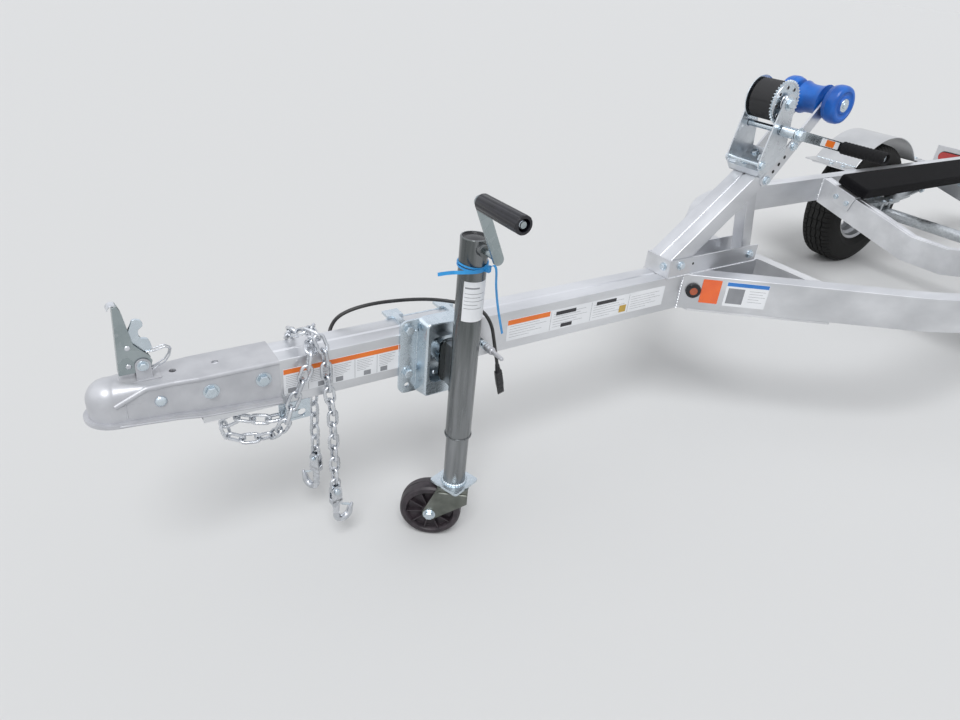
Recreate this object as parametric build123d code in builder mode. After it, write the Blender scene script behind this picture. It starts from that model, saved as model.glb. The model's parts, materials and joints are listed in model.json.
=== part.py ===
from build123d import *
from math import acos, atan, cos, pi, radians, sin, sqrt, tan
import os

# A bunk boat trailer of bare aluminium box section, standing on its swivel jack.
# Millimetres. +X runs rearward from the coupler, +Y to the trailer's right side, +Z up from the ground.
# Stations are distances behind the coupler's nose. "Above" is a height over the deck, the frame's top faces.

# Overall layout
overall_length = 5100.0
frame_half_width = 560.0
axle_station = 3577.0
running_clearance = 0.05
seat_gap = 0.3

# Box sections
tongue_width = 76.2
tongue_depth = 101.6
tongue_rear = 1790.0
rail_width = 50.8
box_wall = 5.0
box_corner = 2.0
groove_width = 8.0
groove_depth = 2.5

# Side rails
rail_mouth_station = 1475.0
rail_angle = 35.8
rail_bend_radius = 735.0
end_cap_thickness = 4.0
end_cap_spigot = 25.0

# Dropped cross members
member_drop = 119.0
member_flat_half = 70.0
front_member_station = 2990.0
middle_member_behind_axle = 420.0
rear_member_from_end = 150.0

# Gusset under the tongue's rear end
gusset_thickness = 6.0
gusset_front = 1500.0
channel_length = 38.0
channel_wall = 5.0

# Coupler
coupler_length = 338.0
coupler_wall = 4.0
coupler_nose_radius = 38.0
coupler_step_start = 150.0
coupler_step_end = 190.0
coupler_top_fillet = 7.0
neck_rear = 102.0
neck_inset = 1.0
shoulder_bead_radius = 5.4
shoulder_bead_inset = 3.0
shoulder_bead_below = 5.5
coupler_hole_stations = (155.0, 230.0)
coupler_hole_radius = 6.5
nose_skirt = 60.0
rear_skirt = 88.0
rim_reach = 8.0
rim_thickness = 7.0
ball_pocket_radius = 25.6
ball_bore_length = 35.0
ball_centre_above = -25.0
socket_wall = 8.0
coupler_bolt_radius = 6.5
coupler_bolt_stations = (209.0, 306.0)
coupler_bolt_above = -31.0
coupler_bolt_head = 10.4

# Coupler latch
latch_station = 107.0
latch_pivot_above = 33.0
latch_pin_radius = 5.0
latch_half_width = 9.0
latch_sheet = 3.0
latch_cheek_gap = 1.0
latch_cheek_thickness = 3.0
latch_cheek_radius = 13.0
latch_rivet_radius = 4.0
latch_trigger_thickness = 4.0

# Safety chain bracket
bracket_front = 333.0
bracket_length = 64.0
bracket_thickness = 6.0
bracket_depth = 45.0
bracket_hole_radius = 8.5
bracket_hole_inset = 17.0
bracket_hole_below = 30.0

# Safety chains
link_pitch = 31.6
link_wire = 7.0
link_inner_width = 12.5
link_end_taper = 4.0
link_slack = 0.95
chain_standoff = 17.0

# Clevis hooks on the chains
hook_wire = 12.0
hook_bend_radius = 20.0
hook_shank = 38.0
hook_pin_radius = 3.5
hook_ear_gap = 8.4
hook_ear_thickness = 4.0
hook_ear_radius = 12.0
hook_tip_lean = 4.0

# Jack mount
mount_plate_front = 597.0
mount_plate_length = 190.0
mount_plate_thickness = 6.0
mount_plate_above = 32.0
mount_plate_height = 178.0
mount_plate_corner = 18.0
mount_bolt_radius = 6.0
mount_bolt_inset = 20.0
housing_width = 124.0
housing_height = 190.0
housing_reach = 34.0
housing_wall = 4.0
housing_corner = 16.0
housing_draft = 10.0
housing_fillet = 5.0
window_width = 92.0
window_height = 112.0
strap_width = 14.0
strap_inset = 30.0
strap_foot_length = 38.0
strap_foot_width = 30.0

# Jack
jack_station = 699.0
jack_reach = 140.0
jack_tube_radius = 28.6
jack_tube_wall = 3.2
jack_tube_above = 243.0
jack_tube_below = 222.0
jack_cap_thickness = 4.0
swing_above = -57.0
swing_pin_radius = 16.0
swing_pin_depth = 24.0
swivel_plate_gap = 5.0
swivel_plate_thickness = 6.0
swivel_plate_width = 56.0
swivel_plate_height = 100.0
saddle_half_width = 18.0
saddle_height = 96.0
pull_pin_radius = 5.0
pull_pin_length = 66.0
pull_pin_offset = 62.0
pull_pin_above_swing = 38.0
pull_pin_sleeve_radius = 9.0
pull_pin_sleeve_length = 22.0
inner_tube_wall = 3.0
inner_tube_length = 340.0
crank_above = 226.0
crank_shaft_radius = 6.0
crank_boss_radius = 13.0
crank_boss_length = 12.0
crank_rise = 115.0
crank_forward = 51.0
crank_arm_width = 22.0
crank_arm_thickness = 6.0
crank_stand_off = 50.0
crank_grip_radius = 16.5
crank_grip_length = 118.0

# Caster
caster_wheel_radius = 73.0
caster_wheel_width = 48.0
caster_trail = 50.0
caster_bearing_gap = 4.5
caster_plate_thickness = 5.0
caster_side_gap = 3.0
caster_side_thickness = 4.0
caster_axle_radius = 6.0
caster_turn = 143.0
caster_plate_half = 36.0
caster_knuckle_radius = 17.0
wheel_recess_radius = 52.0
wheel_hub_radius = 20.0
base_plate_size = 80.0
base_plate_thickness = 6.0
base_plate_turn = 18.0
king_pin_radius = 8.0

# Post shoe, post and strut
shoe_front = 1400.0
shoe_rear = 1767.0
shoe_wall = 5.0
shoe_flange = 50.0
post_width = 76.2
post_depth = 50.8
post_wall = 4.0
post_slope = 37.85
post_foot_station = 1407.0
post_top_station = 1739.0
strut_size = 38.0
strut_wall = 3.0
strut_foot_station = 1754.0
strut_head_station = 1701.0

# Winch
drum_station = 1701.0
drum_above = 446.0
gear_module = 2.8
gear_teeth = 38
pinion_teeth = 10
pressure_angle = 25.0
tooth_backlash = 0.3
addendum_share = 0.9
dedendum_share = 1.15
gear_thickness = 6.0
pinion_thickness = 9.0
winch_shaft_radius = 8.0
winch_plate_thickness = 4.0
winch_half_width = 50.0
winch_side_gap = 5.0
drum_core_radius = 18.0
drum_flange_radius = 56.0
drum_flange_thickness = 2.5
strap_roll_radius = 50.0
winch_boss_radius = 24.0
winch_base_length = 120.0
winch_base_back = 8.0
winch_crank_length = 225.0
winch_crank_droop = 11.0
winch_crank_width = 25.0
winch_crank_thickness = 6.0
winch_crank_plane = 100.0
winch_grip_radius = 17.0
winch_grip_length = 118.0

# Bow roller on its arms
roller_station = 1891.0
roller_above = 444.0
roller_shaft_radius = 8.0
roller_waist_radius = 37.0
roller_neck_radius = 44.0
roller_bell_radius = 50.0
roller_bell_length = 42.0
roller_side_gap = 5.0
arm_width = 38.0
arm_thickness = 6.0
arm_foot_run = 62.0
arm_foot_drop = 8.0

# Axle, springs and wheels
wheel_radius = 300.0
tyre_width = 165.0
tyre_rail_gap = 25.5
rail_leaf_gap = 20.0
rim_bead_radius = 166.0
rim_flange_height = 6.0
rim_half_width = 60.0
rim_sheet = 4.0
rim_well_radius = 150.0
hub_flange_radius = 55.0
hub_body_radius = 36.0
hub_half_length = 44.0
lug_circle_radius = 41.0
lug_radius = 6.0
lug_count = 5
rim_window_count = 8
rim_window_radius = 15.0
rim_window_circle = 112.0
axle_radius = 25.4
axle_wall = 5.0
axle_short_of_track = 78.0
spindle_radius = 17.0
spindle_past_track = 28.0
spring_half_length = 330.0
spring_width = 45.0
spring_camber = 34.0
leaf_thickness = 7.0
leaf_shares = (1.0, 0.72, 0.45)
spring_eye_radius = 13.0
u_bolt_radius = 6.0
tie_plate_thickness = 8.0
hanger_thickness = 5.0
hanger_length = 60.0
hanger_bolt_radius = 6.0
hanger_lip = 3.0

# Fenders
fender_rail_gap = 10.0
fender_width = 220.0
fender_clearance = 42.0
fender_sheet = 3.0
fender_skirt = 44.0
fender_tab_length = 110.0
fender_tab_above = -65.0
fender_bracket_length = 90.0
fender_bracket_thickness = 6.0

# Lamps
lamp_plate_station = 4480.0
lamp_plate_width = 205.0
lamp_plate_height = 110.0
lamp_plate_thickness = 5.0
lamp_width = 152.0
lamp_height = 51.0
lamp_proud = 14.0
marker_run = 34.0
marker_below = 45.0
marker_radius = 15.0
marker_grommet_radius = 20.0
marker_proud = 9.0
marker_grommet_proud = 5.0

# Bunks
bunk_front = 2975.0
bunk_centre_y = 390.0
bunk_width = 140.0
bunk_thickness = 45.0
bunk_corner = 8.0
bunk_from_end = 15.0
bunk_plate_thickness = 6.0
bunk_plate_width = 100.0
bunk_plate_overhang = 6.0
bunk_leg_height = 60.0

# Wiring
cable_radius = 4.0
grommet_thickness = 3.0
grommet_station = 478.0
grommet_above = -24.0
plug_width = 18.0
plug_thickness = 11.0
plug_length = 105.0

# Heights and widths that follow from the running gear under the frame
track_half_width = frame_half_width + tyre_rail_gap + tyre_width / 2
axle_half_length = track_half_width - axle_short_of_track
spindle_end = track_half_width + spindle_past_track
fender_inner_y = frame_half_width + fender_rail_gap
spring_pack = leaf_thickness * len(leaf_shares)
eye_height = wheel_radius + axle_radius + spring_pack + spring_camber
deck_height = eye_height + spring_eye_radius + rail_leaf_gap + tongue_depth


def station(distance):
    """Model x of a point that far behind the coupler's nose."""
    return distance - overall_length / 2


def above(height):
    """Model z of a point that far above the deck."""
    return deck_height + height


def box_section(width, depth, wall):
    """Hollow rectangular section about the sketch's origin."""
    RectangleRounded(width, depth, box_corner)
    Rectangle(width - 2 * wall, depth - 2 * wall, mode=Mode.SUBTRACT)


def mirrored(piece):
    """The same piece on the trailer's other side."""
    with BuildPart() as other:
        mirror(piece.part, about=Plane.XZ)
    return other


near_side = -tongue_width / 2
far_side = tongue_width / 2
tongue_bottom = deck_height - tongue_depth

# Tongue
with BuildPart() as tongue:
    with BuildSketch(Plane.YZ.offset(station(coupler_step_end))):
        with Locations((0, deck_height - tongue_depth / 2)):
            box_section(tongue_width, tongue_depth, box_wall)
        with BuildLine():
            Polyline(
                (-groove_width / 2, deck_height),
                (0, deck_height - groove_depth),
                (groove_width / 2, deck_height),
                close=True,
            )
        make_face(mode=Mode.SUBTRACT)
    extrude(amount=tongue_rear - coupler_step_end)

# Side rails: straight out from the tongue, round a wide bend, straight to the rear
slope = radians(rail_angle)
rail_line_y = frame_half_width - rail_width / 2
rail_line_start = (
    station(rail_mouth_station) + rail_width / 2 * sin(slope),
    far_side - rail_width / 2 * cos(slope),
)
rail_corner = (rail_line_start[0] + (rail_line_y - rail_line_start[1]) / tan(slope), rail_line_y)
rail_end_x = station(overall_length - end_cap_thickness)
with BuildPart() as rail_right:
    with BuildLine(Plane.XY.offset(deck_height - tongue_depth / 2)) as rail_path:
        FilletPolyline(rail_line_start, rail_corner, (rail_end_x, rail_line_y), radius=rail_bend_radius)
    with BuildSketch(
        Plane(origin=rail_path.line @ 0, x_dir=(-sin(slope), cos(slope), 0), z_dir=(cos(slope), sin(slope), 0))
    ):
        box_section(rail_width, tongue_depth, box_wall)
    sweep(path=rail_path.line)
    split(bisect_by=Plane(origin=(0, far_side, 0), z_dir=(0, 1, 0)), keep=Keep.TOP)
rail_left = mirrored(rail_right)

# Plastic caps in the rails' rear ends
with BuildPart() as end_caps:
    for side in (-1, 1):
        with BuildSketch(Plane.YZ.offset(rail_end_x)):
            with Locations((side * rail_line_y, deck_height - tongue_depth / 2)):
                RectangleRounded(rail_width, tongue_depth, box_corner)
        extrude(amount=end_cap_thickness)
        with BuildSketch(Plane.YZ.offset(rail_end_x)):
            with Locations((side * rail_line_y, deck_height - tongue_depth / 2)):
                Rectangle(rail_width - 2 * box_wall - 2 * seat_gap, tongue_depth - 2 * box_wall - 2 * seat_gap)
        extrude(amount=-end_cap_spigot)

# Cross members: box section bent down in the middle, so that the hull sits low
member_half_span = frame_half_width - rail_width
member_slope = atan(member_drop / (member_half_span - member_flat_half))


def member_height(y, depth):
    """Height of a face that lies that deep below the member's top face, at that distance from the middle."""
    bend_y = member_flat_half + depth * tan(member_slope / 2)
    return deck_height - member_drop - depth + max(0.0, y - bend_y) * tan(member_slope)


def member_outline(top, bottom):
    """Closed outline between two depths below the member's top face."""
    upper_bend = member_flat_half + top * tan(member_slope / 2)
    lower_bend = member_flat_half + bottom * tan(member_slope / 2)
    upper = [(y, member_height(abs(y), top)) for y in (-member_half_span, -upper_bend, upper_bend, member_half_span)]
    lower = [(y, member_height(abs(y), bottom)) for y in (member_half_span, lower_bend, -lower_bend, -member_half_span)]
    return upper + lower


def cross_member(centre_x):
    """One cross member about that x: a hollow box section with the groove along its top."""
    # width along X, top and bottom depth below the top face, how the prism counts
    prisms = (
        (rail_width, 0, tongue_depth, Mode.ADD),
        (rail_width - 2 * box_wall, box_wall, tongue_depth - box_wall, Mode.SUBTRACT),
        (groove_width, 0, groove_depth, Mode.SUBTRACT),
    )
    with BuildPart() as member:
        for width, top, bottom, mode in prisms:
            with BuildSketch(Plane.YZ.offset(centre_x)):
                with BuildLine():
                    Polyline(*member_outline(top, bottom), close=True)
                make_face()
            extrude(amount=width / 2, both=True, mode=mode)
    return member


member_xs = {
    "front": station(front_member_station),
    "middle": station(axle_station + middle_member_behind_axle),
    "rear": station(overall_length - rear_member_from_end),
}
crossmember_front = cross_member(member_xs["front"])
crossmember_middle = cross_member(member_xs["middle"])
crossmember_rear = cross_member(member_xs["rear"])

# Gusset: a plate under the joint of tongue and rails, and a channel across the tongue's rear end
gusset_rear = tongue_rear + channel_length


def rail_outer_y(distance):
    """Outer edge of the rail's straight front stretch at that station."""
    return far_side + (distance - rail_mouth_station) * tan(slope)


rail_inner_shift = rail_width / cos(slope)
with BuildPart() as front_gusset:
    with BuildSketch(Plane.XY.offset(tongue_bottom - gusset_thickness)):
        with BuildLine():
            Polyline(
                (station(gusset_front), -rail_outer_y(gusset_front)),
                (station(gusset_rear), -rail_outer_y(gusset_rear)),
                (station(gusset_rear), rail_outer_y(gusset_rear)),
                (station(gusset_front), rail_outer_y(gusset_front)),
                close=True,
            )
        make_face()
    extrude(amount=gusset_thickness)
    # the channel's web stands against the tongue's rear end, its flanges point rearward
    with BuildSketch(Plane.XY.offset(tongue_bottom)):
        with BuildLine():
            Polyline(
                (station(tongue_rear), -rail_outer_y(tongue_rear) + rail_inner_shift + seat_gap),
                (station(gusset_rear), -rail_outer_y(gusset_rear) + rail_inner_shift + seat_gap),
                (station(gusset_rear), rail_outer_y(gusset_rear) - rail_inner_shift - seat_gap),
                (station(tongue_rear), rail_outer_y(tongue_rear) - rail_inner_shift - seat_gap),
                close=True,
            )
        make_face()
    extrude(amount=tongue_depth)
    with BuildSketch(Plane.XZ):
        with Locations((station(gusset_rear), deck_height - tongue_depth / 2)):
            Rectangle(2 * (channel_length - channel_wall), tongue_depth - 2 * channel_wall)
    extrude(amount=frame_half_width, both=True, mode=Mode.SUBTRACT)

# Coupler: a pressed channel over the tongue, closed to a ball socket at the nose
coupler_half = tongue_width / 2 + seat_gap + coupler_wall
coupler_top = above(coupler_wall)
coupler_bottom_nose = above(-nose_skirt)
coupler_bottom_rear = above(-rear_skirt)


def coupler_plan(grow):
    """Plan outline of the coupler, grown outward by that much, open channel at the rear."""
    nose = coupler_nose_radius + grow
    rear = coupler_half + grow
    nose_x = station(coupler_nose_radius + rim_reach)
    with BuildSketch() as plan:
        with BuildLine():
            ThreePointArc((nose_x, nose), (nose_x - nose, 0), (nose_x, -nose))
            Polyline(
                (nose_x, -nose),
                (station(coupler_step_start), -nose),
                (station(coupler_step_end), -rear),
                (station(coupler_length), -rear),
                (station(coupler_length), rear),
                (station(coupler_step_end), rear),
                (station(coupler_step_start), nose),
                (nose_x, nose),
            )
        make_face()
    return plan.sketch


def skirt_height(distance):
    """Height of the coupler's sloping lower edge at that station."""
    return coupler_bottom_nose + (coupler_bottom_rear - coupler_bottom_nose) * distance / coupler_length


with BuildPart() as coupler_rim:
    with BuildSketch(Plane.XY.offset(coupler_bottom_rear - rim_thickness)):
        add(coupler_plan(rim_reach))
    extrude(amount=tongue_depth)
    with BuildSketch(Plane.XZ):
        with BuildLine():
            Polyline(
                (station(0), skirt_height(0)),
                (station(coupler_length), skirt_height(coupler_length)),
                (station(coupler_length), skirt_height(coupler_length) + rim_thickness),
                (station(0), skirt_height(0) + rim_thickness),
                close=True,
            )
        make_face()
    extrude(amount=2 * coupler_half, both=True, mode=Mode.INTERSECT)

ball_z = above(ball_centre_above)
dome_x = station(coupler_nose_radius + rim_reach)
neck_x = station(neck_rear)
neck_front_half = coupler_nose_radius - neck_inset


def neck_section(x, half, corner, crown):
    """Upright section over the ball's height: two straight sides, two round corners and a crown."""
    with BuildSketch(Plane(origin=(x, 0, ball_z), x_dir=(0, 1, 0), z_dir=(1, 0, 0))) as section:
        with BuildLine():
            lean_in = corner * (1 - sqrt(0.5))
            side_top = crown - corner
            Polyline((-half, side_top), (-half, -coupler_wall), (half, -coupler_wall), (half, side_top))
            ThreePointArc((half, side_top), (half - lean_in, crown - lean_in), (half - corner, crown))
            Line((half - corner, crown), (corner - half, crown))
            ThreePointArc((corner - half, crown), (lean_in - half, crown - lean_in), (-half, side_top))
        make_face()
    return section.sketch.face()


def bead_route(side):
    """Run of the rounded shoulder along one upper edge, from inside the dome to the rear end."""
    inset = shoulder_bead_inset
    level = coupler_top - shoulder_bead_below
    # station, distance from the middle, height
    return [
        Vector(station(s), side * (half - inset), z)
        for s, half, z in (
            (dome_start, coupler_nose_radius, ball_z),
            (neck_rear, coupler_nose_radius, level),
            (coupler_step_start, coupler_nose_radius, level),
            (coupler_step_end, coupler_half, level),
            (coupler_length, coupler_half, level),
        )
    ]


dome_start = coupler_nose_radius + rim_reach + coupler_wall
with BuildPart() as coupler:
    with BuildSketch(Plane.XY.offset(coupler_bottom_rear)):
        add(coupler_plan(0))
    extrude(amount=coupler_top - coupler_bottom_rear)
    fillet(coupler.edges().group_by(Axis.Z)[-1].sort_by(Axis.X)[:-1], radius=coupler_top_fillet)
    with BuildSketch(Plane.XZ):
        with BuildLine():
            Polyline(
                (station(0), coupler_bottom_rear),
                (station(coupler_length), coupler_bottom_rear),
                (station(0), coupler_bottom_nose),
                close=True,
            )
        make_face()
    extrude(amount=2 * coupler_half, both=True, mode=Mode.SUBTRACT)
    # the nose: a dome over the ball, and a neck that flattens from the dome to the channel
    with BuildSketch(Plane.YZ.offset(station(0))):
        with Locations((0, ball_z + coupler_half)):
            Rectangle(4 * coupler_half, 2 * coupler_half)
    extrude(amount=neck_x - station(0), mode=Mode.SUBTRACT)
    with Locations((dome_x, 0, ball_z)):
        Sphere(coupler_nose_radius)
    with BuildPart(mode=Mode.PRIVATE) as neck:
        loft(
            sections=(
                neck_section(dome_x, neck_front_half, neck_front_half - seat_gap, neck_front_half),
                neck_section(neck_x, coupler_nose_radius, coupler_top_fillet, coupler_top - ball_z),
            )
        )
    add(neck.part)
    for side in (-1, 1):
        with BuildLine() as bead_path:
            FilletPolyline(*bead_route(side), radius=4 * shoulder_bead_radius)
        with BuildSketch(Plane(origin=bead_path.line @ 0, z_dir=bead_path.line % 0)):
            Circle(shoulder_bead_radius)
        sweep(path=bead_path.line)
    add(coupler_rim.part)
    # hollow from below: to the ball's height under the nose, up to the top sheet behind it
    with BuildSketch(Plane.XY.offset(coupler_bottom_rear - rim_thickness)):
        add(coupler_plan(-coupler_wall))
        with Locations((station(coupler_length), 0)):
            Rectangle(2 * coupler_wall, tongue_width + 2 * seat_gap)
    extrude(amount=ball_z - coupler_wall - coupler_bottom_rear + rim_thickness, mode=Mode.SUBTRACT)
    with BuildSketch(Plane.XY.offset(coupler_bottom_rear - rim_thickness)):
        add(coupler_plan(-coupler_wall))
        with Locations((station(coupler_length), 0)):
            Rectangle(2 * coupler_wall, tongue_width + 2 * seat_gap)
        with Locations((station(0), 0)):
            Rectangle(2 * (neck_rear + coupler_wall), 4 * coupler_half, mode=Mode.SUBTRACT)
    extrude(amount=deck_height - coupler_bottom_rear + rim_thickness, mode=Mode.SUBTRACT)
    with BuildSketch(Plane.XY.offset(deck_height)):
        with Locations(*[(station(s), 0) for s in coupler_hole_stations]):
            Circle(coupler_hole_radius)
    extrude(amount=2 * coupler_wall, mode=Mode.SUBTRACT)
    # ball socket
    with BuildSketch(Plane.XY.offset(ball_z - ball_bore_length)):
        with Locations((dome_x, 0)):
            Circle(ball_pocket_radius + socket_wall)
    extrude(amount=ball_bore_length)
    with BuildSketch(Plane.XY.offset(coupler_bottom_rear - rim_thickness)):
        with Locations((dome_x, 0)):
            Circle(ball_pocket_radius)
    extrude(amount=ball_z - coupler_bottom_rear + rim_thickness, mode=Mode.SUBTRACT)
    with Locations((dome_x, 0, ball_z)):
        Sphere(ball_pocket_radius, mode=Mode.SUBTRACT)
    # bolts through the tongue
    for bolt_station in coupler_bolt_stations:
        for side in (-1, 1):
            with BuildSketch(Plane(origin=(station(bolt_station), side * coupler_half, above(coupler_bolt_above)),
                                   x_dir=(1, 0, 0), z_dir=(0, side, 0))):
                RegularPolygon(radius=coupler_bolt_head, side_count=6)
            extrude(amount=coupler_bolt_radius)
    # cheeks and pin that carry the latch
    for side in (-1, 1):
        cheek_y = side * (latch_half_width + latch_cheek_gap)
        with BuildSketch(Plane(origin=(station(latch_station), cheek_y, above(latch_pivot_above)),
                               x_dir=(1, 0, 0), z_dir=(0, -1, 0))):
            Circle(latch_cheek_radius)
            with Locations((0, (coupler_wall - latch_pivot_above) / 2)):
                Rectangle(2 * latch_cheek_radius, latch_pivot_above - coupler_wall)
        extrude(amount=-side * latch_cheek_thickness)
    with BuildSketch(Plane.XZ):
        with Locations((station(latch_station), above(latch_pivot_above))):
            Circle(latch_pin_radius)
    extrude(amount=latch_half_width + latch_cheek_gap + 2 * latch_cheek_thickness, both=True)

# Coupler latch: a lever of folded sheet that stands up and folds rearward, with its trigger between the cheeks
# x from the pivot, height over the pivot
latch_outline = (
    (-40, -14),
    (3, -14),
    (14, -6),
    (17, 5),
    (11, 17),
    (-9, 41),
    (-18, 102),
    (-24, 118),
    (-31, 116),
)
trigger_outline = (
    (-24, 40),
    (-13, 28),
    (15, 20),
    (20, 29),
    (16, 45),
    (6, 48),
    (2, 56),
    (2, 65),
    (11, 71),
    (9, 83),
    (-4, 84),
    (-13, 66),
)
# x from the pivot, height over the pivot
latch_rivets = ((-19, 37), (-22, 1))
latch_plane = Plane(origin=(station(latch_station), 0, above(latch_pivot_above)), x_dir=(1, 0, 0), z_dir=(0, -1, 0))
with BuildPart() as coupler_latch:
    with BuildSketch(latch_plane):
        Polygon(*latch_outline, align=None)
    extrude(amount=latch_half_width, both=True)
    # the fold stays along the front edge and round the top, and the rest is open between the cheeks
    with BuildSketch(latch_plane):
        with BuildLine():
            Polyline(
                (latch_outline[0][0] + latch_sheet, -2 * latch_half_width),
                (latch_outline[0][0] + latch_sheet, latch_outline[0][1]),
                (latch_outline[-1][0] + latch_sheet, latch_outline[-1][1] - latch_sheet),
                (latch_outline[-2][0] + latch_sheet, latch_outline[-2][1] - latch_sheet),
                (latch_outline[3][0] + latch_sheet, latch_outline[3][1]),
                (latch_outline[3][0] + latch_sheet, -2 * latch_half_width),
                close=True,
            )
        make_face()
    extrude(amount=latch_half_width - latch_sheet, both=True, mode=Mode.SUBTRACT)
    with BuildSketch(latch_plane):
        Polygon(*trigger_outline, align=None)
    extrude(amount=latch_trigger_thickness / 2, both=True)
    with BuildSketch(latch_plane):
        with Locations(*latch_rivets):
            Circle(latch_rivet_radius)
    extrude(amount=latch_half_width, both=True)
    with BuildSketch(latch_plane):
        Circle(latch_pin_radius + running_clearance)
    extrude(amount=latch_half_width, both=True, mode=Mode.SUBTRACT)

# Bracket under the tongue that holds the safety chains
bracket_rear = bracket_front + bracket_length
bracket_hole_z = tongue_bottom - bracket_hole_below
with BuildPart() as chain_bracket:
    with BuildSketch(Plane.YZ.offset(station(bracket_front))):
        with Locations((0, tongue_bottom - bracket_depth / 2)):
            Rectangle(tongue_width, bracket_depth)
        with Locations((0, tongue_bottom - bracket_thickness - bracket_depth / 2)):
            Rectangle(tongue_width - 2 * bracket_thickness, bracket_depth, mode=Mode.SUBTRACT)
    extrude(amount=bracket_length)
    with BuildSketch(Plane.XZ):
        with Locations(
            (station(bracket_front + bracket_hole_inset), bracket_hole_z),
            (station(bracket_rear - bracket_hole_inset), bracket_hole_z),
        ):
            Circle(bracket_hole_radius)
    extrude(amount=tongue_width, both=True, mode=Mode.SUBTRACT)

# One chain link: a closed ring of round wire, drawn with eight straight runs
link_end = (link_pitch + link_wire) / 2
link_side = (link_inner_width + link_wire) / 2
link_shoulder = link_end - link_end_taper
link_tip = link_side - link_end_taper + 1
with BuildPart() as chain_link:
    with BuildLine() as link_path:
        Polyline(
            (link_end, link_tip),
            (link_shoulder, link_side),
            (-link_shoulder, link_side),
            (-link_end, link_tip),
            (-link_end, -link_tip),
            (-link_shoulder, -link_side),
            (link_shoulder, -link_side),
            (link_end, -link_tip),
            close=True,
        )
    with BuildSketch(Plane(origin=(0, link_side, 0), x_dir=(0, 1, 0), z_dir=(1, 0, 0))):
        RegularPolygon(radius=link_wire / 2, side_count=6)
    sweep(path=link_path.line, transition=Transition.RIGHT)


def chain_joints(route):
    """Points along the route where one link hangs in the next, a link's pitch apart in a straight line."""
    corners = [Vector(*point) for point in route]
    joints = [corners[0]]
    leg = 0
    place = corners[0]
    step = link_pitch - link_slack
    while leg < len(corners) - 1:
        end = corners[leg + 1]
        if (end - joints[-1]).length < step:
            leg += 1
            place = end
            continue
        # where the leg from place to end leaves the sphere of one step about the last joint
        run = (end - place).normalized()
        back = place - joints[-1]
        middle = back.dot(run)
        reach = -middle + sqrt(middle**2 - back.dot(back) + step**2)
        place = place + run * reach
        joints.append(place)
    return joints


def chain_planes(joints, first_normal):
    """Planes of the links between the joints, each turned a quarter against the one before."""
    planes = []
    normal = Vector(*first_normal)
    for start, end in zip(joints, joints[1:]):
        run = (end - start).normalized()
        normal = (normal - run * normal.dot(run)).normalized()
        planes.append(Plane(origin=(start + end) / 2, x_dir=run, z_dir=normal))
        normal = run.cross(normal)
    return planes


# Chain routes: station, y, height above the deck
hole_front = bracket_front + bracket_hole_inset
hole_rear = bracket_rear - bracket_hole_inset
hole_above = -tongue_depth - bracket_hole_below
near = near_side - chain_standoff
far = far_side + chain_standoff
leg_y = tongue_width / 2 - bracket_thickness / 2
route_one = (
    (hole_front - bracket_hole_radius + 2 * seat_gap, -leg_y, hole_above),
    (313, -leg_y + 2, hole_above - 1),
    (287, -20, hole_above - 1),
    (256, -6, hole_above + 5),
    (232, 2, hole_above + 2),
    (228, 2, hole_above - 29),
    (252, 0, hole_above - 52),
    (288, -6, hole_above - 58),
    (316, -24, hole_above - 46),
    (334, near - 1, hole_above - 18),
    (348, near - 2, -106),
    (362, near, -80),
    (378, near, -45),
    (392, near - 2, -12),
    (397, near + 2, 14),
    (403, near + 16, 20),
    (416, -2, 16),
    (428, 22, 16),
    (436, far - 13, 19),
    (442, far, 0),
    (443, far + 1, -100),
    (439, far, -164),
    (438, far - 2, -362),
)
route_two = (
    (hole_rear + bracket_hole_radius - 2 * seat_gap, leg_y, hole_above),
    (416, leg_y + 3, hole_above + 2),
    (414, far - 5, -98),
    (406, far + 2, -68),
    (398, far + 2, -36),
    (391, far + 1, -4),
    (388, far - 8, 18),
    (386, 18, 22),
    (391, -8, 38),
    (405, -30, 47),
    (421, near + 2, 36),
    (425, near - 2, -4),
    (428, near - 1, -60),
    (438, near + 1, -130),
    (440, near + 2, -215),
    (442, near + 2, -376),
)


def safety_chain(route):
    """One chain along its route, and the plane of its last link, about that link's far inner end."""
    joints = chain_joints([(station(s), y, above(height)) for s, y, height in route])
    planes = chain_planes(joints, (0, 0, 1))
    print("chain of", len(planes), "links")
    with BuildPart() as chain:
        add([chain_link.part.moved(plane.location) for plane in planes])
    return chain, Plane(origin=joints[-1], x_dir=planes[-1].x_dir, z_dir=planes[-1].z_dir)


safety_chain_one, last_link_one = safety_chain(route_one)
safety_chain_two, last_link_two = safety_chain(route_two)


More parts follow.
